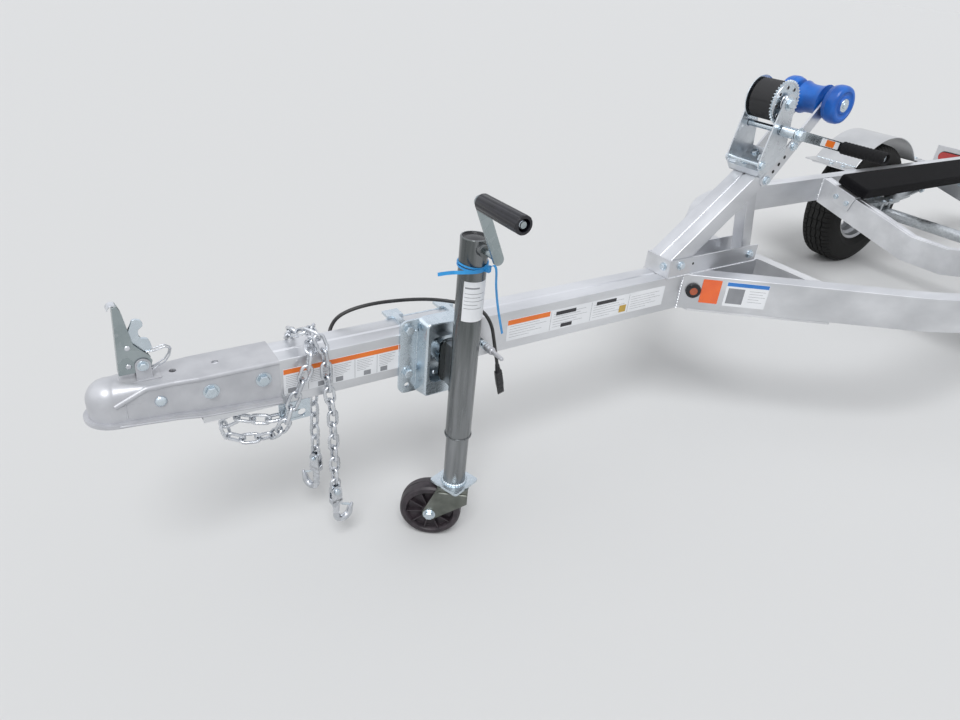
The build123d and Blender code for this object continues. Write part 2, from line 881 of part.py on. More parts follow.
def clevis_hook(last_link):
    """Clevis slip hook on its pin through the chain's last link, which lies between the hook's two ears."""
    pin_at = last_link.origin - last_link.x_dir * (hook_pin_radius + seat_gap)
    upright = Plane(origin=pin_at, x_dir=last_link.z_dir.cross(last_link.x_dir), z_dir=last_link.z_dir)
    ear_offset = hook_ear_gap / 2
    with BuildPart() as hook:
        for side in (-1, 1):
            with BuildSketch(upright.offset(side * (ear_offset + hook_ear_thickness / 2))):
                Circle(hook_ear_radius)
                with Locations((0, -hook_ear_radius - hook_wire / 2)):
                    Rectangle(2 * hook_wire, 2 * hook_ear_radius + hook_wire)
            extrude(amount=hook_ear_thickness / 2, both=True)
        with BuildSketch(upright):
            Circle(hook_pin_radius)
        extrude(amount=ear_offset + 2 * hook_ear_thickness, both=True)
        crown = -2 * hook_ear_radius - hook_wire
        with BuildSketch(upright):
            with Locations((0, crown)):
                Rectangle(2 * hook_wire, hook_wire)
        extrude(amount=ear_offset + hook_ear_thickness, both=True)
        bottom = crown - hook_shank
        with BuildLine(upright) as bend:
            Line((0, crown), (0, bottom))
            ThreePointArc((0, bottom), (-hook_bend_radius, bottom - hook_bend_radius), (-2 * hook_bend_radius, bottom))
            Line((-2 * hook_bend_radius, bottom), (-2 * hook_bend_radius - hook_tip_lean, bottom + hook_wire))
        with BuildSketch(Plane(origin=bend.line @ 0, z_dir=bend.line % 0)):
            Circle(hook_wire / 2)
        sweep(path=bend.line)
    return hook


chain_hook_one = clevis_hook(last_link_one)
chain_hook_two = clevis_hook(last_link_two)

# Jack mount: plate on the tongue's near side, plate behind, two straps over the top, and a pressed housing
mount_plate_rear = mount_plate_front + mount_plate_length
mount_centre = mount_plate_front + mount_plate_length / 2
plate_face = near_side - mount_plate_thickness
housing_face = plate_face - housing_reach
swing_z = above(swing_above)
with BuildPart() as jack_mount:
    for start, height, top in (
        (near_side, mount_plate_height, mount_plate_above),
        (far_side + mount_plate_thickness, mount_plate_height - mount_plate_above, 0),
    ):
        with BuildSketch(Plane.XZ.offset(-start)):
            with Locations((station(mount_centre), above(top - height / 2))):
                RectangleRounded(mount_plate_length, height, mount_plate_corner)
                with GridLocations(
                    mount_plate_length - 2 * mount_bolt_inset, height - 2 * mount_bolt_inset, 2, 2
                ):
                    Circle(mount_bolt_radius, mode=Mode.SUBTRACT)
        extrude(amount=mount_plate_thickness)
    for strap_station in (mount_plate_front + strap_inset, mount_plate_rear - strap_inset):
        with BuildSketch(Plane.XY.offset(deck_height)):
            with Locations((station(strap_station), 0)):
                Rectangle(strap_width, tongue_width + 2 * mount_plate_thickness)
            with Locations((station(strap_station), far_side + strap_foot_width / 2)):
                Rectangle(strap_foot_length, strap_foot_width)
        extrude(amount=mount_plate_thickness)
    # the housing, a drawn tray with its open side against the plate and a window in its face
    for wall, corner, fillet_radius, mode in (
        (0, housing_corner, housing_fillet, Mode.ADD),
        (housing_wall, housing_corner - housing_wall, 0, Mode.SUBTRACT),
    ):
        with BuildPart(mode=Mode.PRIVATE) as tray:
            with BuildSketch(Plane.XZ.offset(-plate_face)):
                with Locations((station(jack_station), swing_z)):
                    RectangleRounded(housing_width - 2 * wall, housing_height - 2 * wall, corner)
            extrude(amount=housing_reach - wall, taper=housing_draft)
            if fillet_radius:
                fillet(tray.faces().sort_by(Axis.Y)[0].edges(), radius=fillet_radius)
        add(tray.part, mode=mode)
    with BuildSketch(Plane.XZ.offset(-housing_face)):
        with Locations((station(jack_station), swing_z)):
            RectangleRounded(window_width, window_height, housing_corner)
    extrude(amount=-2 * housing_wall, mode=Mode.SUBTRACT)
    # bearing for the swing pin
    with BuildSketch(Plane.XZ.offset(-plate_face)):
        with Locations((station(jack_station), swing_z)):
            Circle(swing_pin_radius + 2 * housing_wall)
    extrude(amount=housing_reach)
    with BuildSketch(Plane.XZ.offset(-housing_face)):
        with Locations((station(jack_station), swing_z)):
            Circle(swing_pin_radius + running_clearance)
    extrude(amount=-(housing_reach - housing_wall), mode=Mode.SUBTRACT)

# Jack outer tube, with its swivel plate, saddle, swing pin and pull pin
jack_x = station(jack_station)
jack_y = -jack_reach
jack_bottom = above(-jack_tube_below)
jack_top = above(jack_tube_above)
jack_bore = jack_tube_radius - jack_tube_wall
swivel_face = housing_face - swivel_plate_gap
crank_z = above(crank_above)
with BuildPart() as jack_outer_tube:
    with BuildSketch(Plane.XY.offset(jack_bottom)):
        with Locations((jack_x, jack_y)):
            Circle(jack_tube_radius)
    extrude(amount=jack_top - jack_bottom)
    with BuildSketch(Plane.XZ.offset(-swivel_face)):
        with Locations((jack_x, swing_z)):
            RectangleRounded(swivel_plate_width, swivel_plate_height, housing_corner)
        with Locations((jack_x + pull_pin_offset / 2, swing_z + pull_pin_above_swing)):
            SlotCenterToCenter(pull_pin_offset, 2 * pull_pin_sleeve_radius)
    extrude(amount=swivel_plate_thickness)
    with BuildSketch(Plane.XZ.offset(-swivel_face)):
        with Locations((jack_x, swing_z)):
            Rectangle(2 * saddle_half_width, saddle_height)
    extrude(amount=swivel_face - jack_y)
    with BuildSketch(Plane.XZ.offset(-swivel_face)):
        with Locations((jack_x, swing_z)):
            Circle(swing_pin_radius)
    extrude(amount=-(swivel_plate_gap + swing_pin_depth))
    for radius, length in ((pull_pin_radius, pull_pin_length), (pull_pin_sleeve_radius, pull_pin_sleeve_length)):
        with BuildSketch(Plane.XZ.offset(-swivel_face)):
            with Locations((jack_x + pull_pin_offset, swing_z + pull_pin_above_swing)):
                Circle(radius)
        extrude(amount=length)
    # boss for the crank shaft
    with BuildSketch(Plane.XZ.offset(-jack_y)):
        with Locations((jack_x, crank_z)):
            Circle(crank_boss_radius)
    extrude(amount=jack_tube_radius + crank_boss_length)
    with BuildSketch(Plane.XY.offset(jack_bottom)):
        with Locations((jack_x, jack_y)):
            Circle(jack_bore)
    extrude(amount=jack_top - jack_bottom, mode=Mode.SUBTRACT)
    with BuildSketch(Plane.XZ.offset(-jack_y)):
        with Locations((jack_x, crank_z)):
            Circle(crank_shaft_radius + running_clearance)
    extrude(amount=jack_tube_radius + crank_boss_length, mode=Mode.SUBTRACT)

with BuildPart() as jack_cap:
    with BuildSketch(Plane.XY.offset(jack_top - jack_cap_thickness)):
        with Locations((jack_x, jack_y)):
            Circle(jack_bore)
    extrude(amount=jack_cap_thickness)

# Caster heights follow from its wheel on the ground
caster_plate_bottom = 2 * caster_wheel_radius + caster_bearing_gap
caster_plate_top = caster_plate_bottom + caster_plate_thickness
base_plate_bottom = caster_plate_top + seat_gap
base_plate_top = base_plate_bottom + base_plate_thickness

# Jack inner tube on its base plate
inner_tube_radius = jack_bore - running_clearance
with BuildPart() as jack_inner_tube:
    with BuildSketch(Plane.XY.offset(base_plate_bottom)):
        with Locations(Location((jack_x, jack_y), base_plate_turn)):
            RectangleRounded(base_plate_size, base_plate_size, base_plate_thickness)
    extrude(amount=base_plate_thickness)
    with BuildSketch(Plane.XY.offset(base_plate_top)):
        with Locations((jack_x, jack_y)):
            Circle(inner_tube_radius)
            Circle(inner_tube_radius - inner_tube_wall, mode=Mode.SUBTRACT)
    extrude(amount=inner_tube_length)
    with BuildSketch(Plane.XY.offset(base_plate_bottom)):
        with Locations((jack_x, jack_y)):
            Circle(king_pin_radius + running_clearance)
    extrude(amount=base_plate_thickness, mode=Mode.SUBTRACT)

# Caster yoke and wheel, in the caster's own directions
trail = radians(caster_turn)
wheel_centre = Vector(
    jack_x + caster_trail * cos(trail), jack_y + caster_trail * sin(trail), caster_wheel_radius
)
side_offset = caster_wheel_width / 2 + caster_side_gap
caster_top_plane = Plane(origin=(jack_x, jack_y, caster_plate_bottom), x_dir=(cos(trail), sin(trail), 0),
                         z_dir=(0, 0, 1))
caster_axle_plane = Plane(origin=wheel_centre, x_dir=(cos(trail), sin(trail), 0),
                          z_dir=(sin(trail), -cos(trail), 0))
plate_half = side_offset + caster_side_thickness
plate_level = caster_plate_bottom - caster_wheel_radius
with BuildPart() as caster_yoke:
    with BuildSketch(caster_top_plane):
        RectangleRounded(2 * caster_plate_half, 2 * plate_half, base_plate_thickness)
    extrude(amount=caster_plate_thickness)
    for side in (-1, 1):
        with BuildSketch(caster_axle_plane.offset(side * side_offset)):
            with BuildLine():
                CenterArc((0, 0), caster_knuckle_radius, 0, 360)
                Polyline(
                    (caster_plate_half - caster_trail, plate_level),
                    (-caster_plate_half - caster_trail, plate_level),
                    (-caster_plate_half - caster_trail, plate_level - caster_plate_half),
                )
            make_hull()
        extrude(amount=side * caster_side_thickness)
    with BuildSketch(caster_axle_plane):
        Circle(caster_axle_radius)
    extrude(amount=side_offset + 2 * caster_side_thickness, both=True)
    with BuildSketch(caster_top_plane.offset(caster_plate_thickness)):
        Circle(king_pin_radius)
    extrude(amount=seat_gap + 2 * base_plate_thickness)

with BuildPart() as caster_wheel:
    with BuildSketch(caster_axle_plane):
        Circle(caster_wheel_radius)
    extrude(amount=caster_wheel_width / 2, both=True)
    fillet(caster_wheel.edges().filter_by(GeomType.CIRCLE), radius=caster_wheel_width / 6)
    for side in (-1, 1):
        with BuildSketch(caster_axle_plane.offset(side * caster_wheel_width / 2)):
            Circle(wheel_recess_radius)
            Circle(wheel_hub_radius, mode=Mode.SUBTRACT)
        extrude(amount=-side * caster_wheel_width / 4, mode=Mode.SUBTRACT)
    with BuildSketch(caster_axle_plane):
        Circle(caster_axle_radius + running_clearance)
    extrude(amount=caster_wheel_width, both=True, mode=Mode.SUBTRACT)

# Jack crank: shaft out to the side, a flat arm up and forward, and the grip back along the shaft's direction
crank_arm_y = jack_y - jack_tube_radius - crank_stand_off
crank_hand = (jack_x - crank_forward, crank_z + crank_rise)
with BuildPart() as jack_crank:
    with BuildSketch(Plane.XZ.offset(-jack_y + jack_bore)):
        with Locations((jack_x, crank_z)):
            Circle(crank_shaft_radius)
    extrude(amount=jack_y - jack_bore - crank_arm_y)
    with BuildSketch(Plane.XZ.offset(-crank_arm_y)):
        with BuildLine():
            arm_line = Line((jack_x, crank_z), crank_hand)
        SlotCenterPoint(arm_line @ 0.5, arm_line @ 1, crank_arm_width)
    extrude(amount=crank_arm_thickness)
    with BuildSketch(Plane.XZ.offset(-crank_arm_y + crank_arm_thickness)):
        with Locations(crank_hand):
            Circle(crank_shaft_radius)
    extrude(amount=crank_grip_length + crank_arm_thickness)

with BuildPart() as jack_crank_grip:
    with BuildSketch(Plane.XZ.offset(-crank_arm_y + 2 * crank_arm_thickness)):
        with Locations(crank_hand):
            Circle(crank_grip_radius)
            Circle(crank_shaft_radius, mode=Mode.SUBTRACT)
    extrude(amount=crank_grip_length - 2 * crank_arm_thickness)

# Shoe on the tongue that holds the foot of the winch post
shoe_half = post_width / 2 + seat_gap
with BuildPart() as post_shoe:
    with BuildSketch(Plane.XY.offset(deck_height)):
        with Locations((station((shoe_front + shoe_rear) / 2), 0)):
            Rectangle(shoe_rear - shoe_front, 2 * (shoe_half + shoe_wall))
    extrude(amount=shoe_flange)
    with BuildSketch(Plane.XY.offset(deck_height + shoe_wall)):
        with Locations((station((shoe_front + shoe_rear) / 2 + shoe_wall), 0)):
            Rectangle(shoe_rear - shoe_front, 2 * shoe_half)
    extrude(amount=shoe_flange, mode=Mode.SUBTRACT)

# Winch post: leaning box section with a groove, cut to stand in the shoe
lean = radians(post_slope)
post_run = Vector(cos(lean), 0, sin(lean))
post_out = Vector(-sin(lean), 0, cos(lean))
post_foot = Vector(station(post_foot_station), 0, above(shoe_flange))
post_length = (post_top_station - post_foot_station) / cos(lean)
post_top = post_foot + post_run * post_length
post_overrun = 2 * shoe_flange
post_axis_foot = post_foot - post_out * (post_depth / 2) - post_run * post_overrun
with BuildPart() as winch_post:
    with BuildSketch(Plane(origin=post_axis_foot, x_dir=(0, 1, 0), z_dir=post_run)):
        box_section(post_width, post_depth, post_wall)
        with Locations((0, -post_depth / 2), (0, post_depth / 2)):
            Rectangle(groove_width, 2 * groove_depth, mode=Mode.SUBTRACT)
    extrude(amount=post_length + post_overrun)
    split(bisect_by=Plane(origin=(station(shoe_front + shoe_wall + seat_gap), 0, 0), z_dir=(1, 0, 0)), keep=Keep.TOP)
    split(bisect_by=Plane(origin=(0, 0, above(shoe_wall)), z_dir=(0, 0, 1)), keep=Keep.TOP)

# Strut from the shoe's rear up to the post's underside
strut_foot = Vector(station(strut_foot_station), 0, above(shoe_wall))
strut_head_on_post = post_foot - post_out * post_depth
strut_head_z = strut_head_on_post.Z + (station(strut_head_station) - strut_head_on_post.X) * tan(lean)
strut_run = (Vector(station(strut_head_station), 0, strut_head_z) - strut_foot).normalized()
with BuildPart() as post_strut:
    with BuildSketch(Plane(origin=strut_foot - strut_run * strut_size, x_dir=(0, 1, 0), z_dir=strut_run)):
        box_section(strut_size, strut_size, strut_wall)
    extrude(amount=strut_head_z - strut_foot.Z + 3 * strut_size)
    split(bisect_by=Plane(origin=(0, 0, above(shoe_wall)), z_dir=(0, 0, 1)), keep=Keep.TOP)
    split(bisect_by=Plane(origin=strut_head_on_post, z_dir=post_out), keep=Keep.BOTTOM)


def toothed(teeth, first_angle):
    """Outline of a gear wheel in the sketch: involute flanks, thinned by the backlash."""
    mesh = radians(pressure_angle)
    pitch_r = gear_module * teeth / 2
    base_r = pitch_r * cos(mesh)
    tip_r = pitch_r + addendum_share * gear_module
    root_r = pitch_r - dedendum_share * gear_module
    radii = (max(root_r, base_r), pitch_r, tip_r)
    corners = []
    for tooth in range(teeth):
        centre = first_angle + 2 * pi * tooth / teeth
        flank = []
        for radius in radii:
            roll = acos(min(1.0, base_r / radius))
            half = pi / (2 * teeth) - tooth_backlash / (4 * pitch_r) + (tan(mesh) - mesh) - (tan(roll) - roll)
            flank.append((radius, half))
        flank.insert(0, (root_r, flank[0][1]))
        corners += [(r * cos(centre - half), r * sin(centre - half)) for r, half in flank]
        corners += [(r * cos(centre + half), r * sin(centre + half)) for r, half in reversed(flank)]
    return corners


# Winch: two side plates on a base across the post's upper face, drum with its gear, pinion with its crank
drum_x = station(drum_station)
drum_z = above(drum_above)
pinion_x = drum_x
gear_centres = gear_module * (gear_teeth + pinion_teeth) / 2
pinion_z = drum_z - gear_centres
base_top = post_top + post_run * winch_base_back
base_foot = base_top - post_run * winch_base_length
with BuildPart() as winch_frame:
    for side in (-1, 1):
        with BuildSketch(Plane(origin=(0, side * winch_half_width, 0), x_dir=(1, 0, 0), z_dir=(0, -1, 0))):
            with BuildLine():
                CenterArc((drum_x, drum_z), winch_boss_radius, 0, 360)
                Line((base_foot.X, base_foot.Z), (base_top.X, base_top.Z))
                Line((base_foot.X, base_foot.Z),
                     ((base_foot + post_out * 46).X - 14, (base_foot + post_out * 46).Z))
            make_hull()
            with Locations((drum_x, drum_z), (pinion_x, pinion_z)):
                Circle(winch_shaft_radius + running_clearance, mode=Mode.SUBTRACT)
        extrude(amount=side * winch_plate_thickness)
    with BuildSketch(Plane(origin=base_foot, x_dir=post_run, z_dir=(0, -1, 0))):
        with Locations((winch_base_length / 2, winch_plate_thickness / 2)):
            Rectangle(winch_base_length, winch_plate_thickness)
    extrude(amount=winch_half_width, both=True)

drum_half = winch_half_width - winch_plate_thickness - winch_side_gap
with BuildPart() as winch_drum:
    with BuildSketch(Plane.XZ):
        with Locations((drum_x, drum_z)):
            Circle(winch_shaft_radius)
    extrude(amount=winch_half_width + 2 * winch_plate_thickness, both=True)
    with BuildSketch(Plane.XZ):
        with Locations((drum_x, drum_z)):
            Circle(drum_core_radius)
    extrude(amount=drum_half, both=True)
    with BuildSketch(Plane.XZ.offset(-drum_half)):
        with Locations((drum_x, drum_z)):
            Circle(drum_flange_radius)
    extrude(amount=drum_flange_thickness)
    with BuildSketch(Plane.XZ.offset(drum_half - gear_thickness)):
        with Locations((drum_x, drum_z)):
            Polygon(*toothed(gear_teeth, -pi / 2), align=None)
    extrude(amount=gear_thickness)

strap_half = drum_half - max(drum_flange_thickness, gear_thickness) - 2
with BuildPart() as winch_strap:
    with BuildSketch(Plane.XZ):
        with Locations((drum_x, drum_z)):
            Circle(strap_roll_radius)
            Circle(drum_core_radius, mode=Mode.SUBTRACT)
    extrude(amount=strap_half, both=True)

crank_turn = -radians(winch_crank_droop)
winch_hand = (pinion_x + winch_crank_length * cos(crank_turn), pinion_z + winch_crank_length * sin(crank_turn))
pinion_overlap = (pinion_thickness - gear_thickness) / 2
with BuildPart() as winch_crank:
    with BuildSketch(Plane.XZ.offset(-winch_half_width - winch_plate_thickness)):
        with Locations((pinion_x, pinion_z)):
            Circle(winch_shaft_radius)
    extrude(amount=winch_half_width + winch_plate_thickness + winch_crank_plane)
    with BuildSketch(Plane.XZ.offset(drum_half - gear_thickness - pinion_overlap)):
        with Locations((pinion_x, pinion_z)):
            Polygon(*toothed(pinion_teeth, pi / 2 + pi / pinion_teeth), align=None)
    extrude(amount=pinion_thickness)
    with BuildSketch(Plane.XZ.offset(winch_crank_plane)):
        with BuildLine():
            crank_line = Line((pinion_x, pinion_z), winch_hand)
        SlotCenterPoint(crank_line @ 0.5, crank_line @ 1, winch_crank_width)
    extrude(amount=winch_crank_thickness)
    with BuildSketch(Plane.XZ.offset(winch_crank_plane + winch_crank_thickness)):
        with Locations(winch_hand):
            Circle(winch_shaft_radius)
    extrude(amount=winch_grip_length + winch_crank_thickness)

with BuildPart() as winch_crank_grip:
    with BuildSketch(Plane.XZ.offset(winch_crank_plane + 2 * winch_crank_thickness)):
        with Locations(winch_hand):
            Circle(winch_grip_radius)
            Circle(winch_shaft_radius, mode=Mode.SUBTRACT)
    extrude(amount=winch_grip_length - 2 * winch_crank_thickness)

# Arms from the post's sides up to the bow roller
roller_x = station(roller_station)
roller_z = above(roller_above)
arm_foot = post_top - post_out * (post_depth / 2 + arm_foot_drop) - post_run * arm_foot_run
with BuildPart() as roller_arms:
    for side in (-1, 1):
        with BuildSketch(Plane(origin=(0, side * post_width / 2, 0), x_dir=(1, 0, 0), z_dir=(0, -1, 0))):
            with BuildLine():
                arm_path = Line((arm_foot.X, arm_foot.Z), (roller_x, roller_z))
            SlotCenterPoint(arm_path @ 0.5, arm_path @ 1, arm_width)
            with Locations((roller_x, roller_z)):
                Circle(roller_shaft_radius + running_clearance, mode=Mode.SUBTRACT)
        extrude(amount=-side * arm_thickness)

# Bow roller: waist between the arms, a bell outside each
arm_inner = post_width / 2
arm_outer = arm_inner + arm_thickness
with BuildPart() as bow_roller:
    with BuildSketch(Plane(origin=(roller_x, 0, roller_z), x_dir=(0, 1, 0), z_dir=(1, 0, 0))):
        with BuildLine():
            Polyline(
                (0, roller_waist_radius),
                (arm_inner / 2, roller_waist_radius + 1),
                (arm_inner - roller_side_gap, roller_neck_radius),
                (arm_inner - roller_side_gap, roller_shaft_radius),
                (arm_outer + roller_side_gap, roller_shaft_radius),
                (arm_outer + roller_side_gap, roller_neck_radius),
            )
            bell_end = arm_outer + roller_side_gap + roller_bell_length
            ThreePointArc(
                (arm_outer + roller_side_gap, roller_neck_radius),
                (arm_outer + roller_side_gap + roller_bell_length * 0.6, roller_bell_radius),
                (bell_end, roller_bell_radius - 4),
            )
            Polyline((bell_end, roller_bell_radius - 4), (bell_end, 0), (0, 0), (0, roller_waist_radius))
        make_face()
    revolve(axis=Axis((roller_x, 0, roller_z), (0, 1, 0)))
    mirror(about=Plane.XZ)

# Axle: a round tube with a turned spindle at each end
axle_x = station(axle_station)
axle_z = wheel_radius
with BuildPart() as axle:
    with BuildSketch(Plane.XZ):
        with Locations((axle_x, axle_z)):
            Circle(axle_radius)
    extrude(amount=axle_half_length, both=True)
    with BuildSketch(Plane.XZ):
        with Locations((axle_x, axle_z)):
            Circle(axle_radius - axle_wall)
    extrude(amount=axle_half_length - 2 * axle_wall, both=True, mode=Mode.SUBTRACT)
    for side in (-1, 1):
        with BuildSketch(Plane(origin=(axle_x, side * axle_half_length, axle_z), z_dir=(0, side, 0))):
            Circle(spindle_radius)
        extrude(amount=spindle_end - axle_half_length)

# Leaf spring with its tie plate, U-bolts and hangers, under each rail
spring_y = frame_half_width - rail_width / 2
main_leaf_bottom = axle_z + axle_radius + spring_pack - leaf_thickness
leaf_curve_radius = (spring_half_length**2 + spring_camber**2) / (2 * spring_camber)
leaf_centre_z = main_leaf_bottom + leaf_thickness + leaf_curve_radius
with BuildPart() as spring_right:
    for index, share in enumerate(leaf_shares):
        inner = leaf_curve_radius + index * leaf_thickness
        outer = inner + leaf_thickness
        reach = share * spring_half_length / leaf_curve_radius
        with BuildSketch(Plane(origin=(axle_x, spring_y, leaf_centre_z), x_dir=(1, 0, 0), z_dir=(0, -1, 0))):
            with BuildLine():
                left_in = (-inner * sin(reach), -inner * cos(reach))
                right_in = (inner * sin(reach), -inner * cos(reach))
                left_out = (-outer * sin(reach), -outer * cos(reach))
                right_out = (outer * sin(reach), -outer * cos(reach))
                ThreePointArc(left_in, (0, -inner), right_in)
                Line(right_in, right_out)
                ThreePointArc(right_out, (0, -outer), left_out)
                Line(left_out, left_in)
            make_face()
        extrude(amount=spring_width / 2, both=True)
    for end in (-1, 1):
        eye_plane = Plane(origin=(axle_x + end * spring_half_length, spring_y, eye_height), x_dir=(1, 0, 0),
                          z_dir=(0, -1, 0))
        with BuildSketch(eye_plane):
            Circle(spring_eye_radius)
        extrude(amount=spring_width / 2, both=True)
        # hanger: two cheeks down from the rail's underside and the eye bolt through them
        for side in (-1, 1):
            with BuildSketch(eye_plane.offset(side * (spring_width / 2 + hanger_thickness / 2))):
                Circle(spring_eye_radius + hanger_lip)
                with Locations((0, (tongue_bottom - eye_height) / 2)):
                    Rectangle(hanger_length, tongue_bottom - eye_height)
            extrude(amount=hanger_thickness / 2, both=True)
        with BuildSketch(eye_plane):
            Circle(hanger_bolt_radius)
        extrude(amount=spring_width / 2 + 2 * hanger_thickness, both=True)
    with BuildSketch(Plane.XY.offset(main_leaf_bottom + leaf_thickness)):
        with Locations((axle_x, spring_y)):
            Rectangle(4 * axle_radius, spring_width + 8 * u_bolt_radius)
    extrude(amount=tie_plate_thickness)
    u_half = axle_radius + u_bolt_radius + seat_gap
    for side in (-1, 1):
        u_plane = Plane(
            origin=(axle_x, spring_y + side * (spring_width / 2 + 2 * u_bolt_radius), axle_z), x_dir=(1, 0, 0),
            z_dir=(0, -1, 0))
        bolt_top = main_leaf_bottom + leaf_thickness + 2 * tie_plate_thickness - axle_z
        with BuildLine(u_plane) as u_path:
            Line((-u_half, bolt_top), (-u_half, 0))
            ThreePointArc((-u_half, 0), (0, -u_half), (u_half, 0))
            Line((u_half, 0), (u_half, bolt_top))
        with BuildSketch(Plane(origin=u_path.line @ 0, z_dir=(0, 0, -1))):
            Circle(u_bolt_radius)
        sweep(path=u_path.line)
spring_left = mirrored(spring_right)

# Tyre and rim, turned about the axle
wheel_plane = Plane(origin=(axle_x, track_half_width, axle_z), x_dir=(0, 1, 0), z_dir=(1, 0, 0))
wheel_axis = Axis((axle_x, 0, axle_z), (0, 1, 0))
tyre_half = tyre_width / 2
tyre_bead_radius = rim_bead_radius + seat_gap
with BuildPart() as tyre_right:
    with BuildSketch(wheel_plane):
        with BuildLine():
            Polyline(
                (-rim_half_width + 6, tyre_bead_radius),
                (-tyre_half * 0.9, tyre_bead_radius + 24),
                (-tyre_half, (tyre_bead_radius + wheel_radius) / 2),
                (-tyre_half * 0.92, wheel_radius - 20),
                (-tyre_half * 0.74, wheel_radius - 3),
                (0, wheel_radius),
                (tyre_half * 0.74, wheel_radius - 3),
                (tyre_half * 0.92, wheel_radius - 20),
                (tyre_half, (tyre_bead_radius + wheel_radius) / 2),
                (tyre_half * 0.9, tyre_bead_radius + 24),
                (rim_half_width - 6, tyre_bead_radius),
                close=True,
            )
        make_face()
    revolve(axis=wheel_axis)
tyre_left = mirrored(tyre_right)

disc_y = rim_half_width / 6
with BuildPart() as rim_right:
    with BuildSketch(wheel_plane):
        # y across the wheel, radius: barrel from flange to flange, then back along its inside
        barrel = (
            (-rim_half_width, rim_bead_radius + rim_flange_height),
            (-rim_half_width + rim_sheet, rim_bead_radius),
            (-rim_half_width / 2, rim_bead_radius - 2),
            (-rim_half_width / 3, rim_well_radius),
            (rim_half_width / 3, rim_well_radius),
            (rim_half_width / 2, rim_bead_radius - 2),
            (rim_half_width - rim_sheet, rim_bead_radius),
            (rim_half_width, rim_bead_radius + rim_flange_height),
        )
        with BuildLine():
            Polyline(*barrel, *[(y, radius - rim_sheet) for y, radius in reversed(barrel)], close=True)
        make_face()
        # dished disc from the hub out to the well
        with BuildLine():
            Polyline(
                (disc_y - rim_sheet, hub_body_radius),
                (disc_y - rim_sheet, hub_flange_radius + 8),
                (disc_y + 6, hub_flange_radius + 30),
                (disc_y, rim_well_radius - 1),
                (disc_y + rim_sheet, rim_well_radius - 1),
                (disc_y + 6 + rim_sheet, hub_flange_radius + 30),
                (disc_y, hub_flange_radius + 8),
                (disc_y, hub_body_radius),
                close=True,
            )
        make_face()
        # hub with its flange, and the dust cap over the spindle's end
        with BuildLine():
            Polyline(
                (-hub_half_length, 0),
                (-hub_half_length, hub_body_radius),
                (disc_y - rim_sheet - 8, hub_body_radius),
                (disc_y - rim_sheet - 8, hub_flange_radius),
                (disc_y - rim_sheet, hub_flange_radius),
                (disc_y - rim_sheet, hub_body_radius - 4),
                (hub_half_length, hub_body_radius - 6),
                (hub_half_length + 6, hub_body_radius - 14),
                (hub_half_length + 6, 0),
                close=True,
            )
        make_face()
    revolve(axis=wheel_axis)
    with BuildSketch(Plane(origin=(axle_x, track_half_width - hub_half_length, axle_z), z_dir=(0, 1, 0))):
        Circle(spindle_radius + running_clearance)
    extrude(amount=spindle_end - track_half_width + hub_half_length + seat_gap, mode=Mode.SUBTRACT)
    disc_plane = Plane(origin=(axle_x, track_half_width + disc_y - 2 * rim_sheet, axle_z), z_dir=(0, 1, 0))
    with BuildSketch(disc_plane):
        with PolarLocations(rim_window_circle, rim_window_count):
            Circle(rim_window_radius)
    extrude(amount=6 * rim_sheet, mode=Mode.SUBTRACT)
    with BuildSketch(disc_plane):
        with PolarLocations(lug_circle_radius + 3, lug_count, start_angle=18):
            Circle(lug_radius)
    extrude(amount=6 * rim_sheet)
rim_left = mirrored(rim_right)

# Fenders: rolled over the tyre, with flat tabs fore and aft and a skirt on the outside
fender_radius = wheel_radius + fender_clearance
tab_z = above(fender_tab_above)
tab_angle = acos((tab_z - axle_z) / fender_radius)
tab_run = fender_radius * sin(tab_angle)
outer_radius = fender_radius + fender_sheet
outer_angle = acos((tab_z - axle_z) / outer_radius)
with BuildPart() as fender_right:
    with BuildSketch(Plane(origin=(axle_x, fender_inner_y, axle_z), x_dir=(1, 0, 0), z_dir=(0, -1, 0))):
        with BuildLine():
            inner_left = (-tab_run, tab_z - axle_z)
            inner_right = (tab_run, tab_z - axle_z)
            outer_left = (-outer_radius * sin(outer_angle), tab_z - axle_z)
            outer_right = (outer_radius * sin(outer_angle), tab_z - axle_z)
            ThreePointArc(inner_left, (0, fender_radius), inner_right)
            Line(inner_right, outer_right)
            ThreePointArc(outer_right, (0, outer_radius), outer_left)
            Line(outer_left, inner_left)
        make_face()
        tab_middle = outer_radius * sin(outer_angle) + fender_tab_length / 2 - fender_sheet
        with Locations((-tab_middle, tab_z - axle_z + fender_sheet / 2), (tab_middle, tab_z - axle_z + fender_sheet / 2)):
            Rectangle(fender_tab_length, fender_sheet)
    extrude(amount=-fender_width)
    with BuildSketch(
        Plane(origin=(axle_x, fender_inner_y + fender_width, axle_z), x_dir=(1, 0, 0), z_dir=(0, -1, 0))
    ):
        with BuildLine():
            skirt_radius = outer_radius - fender_skirt
            skirt_angle = acos((tab_z - axle_z) / skirt_radius)
            ThreePointArc(outer_left, (0, outer_radius), outer_right)
            Line(outer_right, (skirt_radius * sin(skirt_angle), tab_z - axle_z))
            ThreePointArc(
                (skirt_radius * sin(skirt_angle), tab_z - axle_z),
                (0, skirt_radius),
                (-skirt_radius * sin(skirt_angle), tab_z - axle_z),
            )
            Line((-skirt_radius * sin(skirt_angle), tab_z - axle_z), outer_left)
        make_face()
    extrude(amount=fender_sheet)
fender_left = mirrored(fender_right)

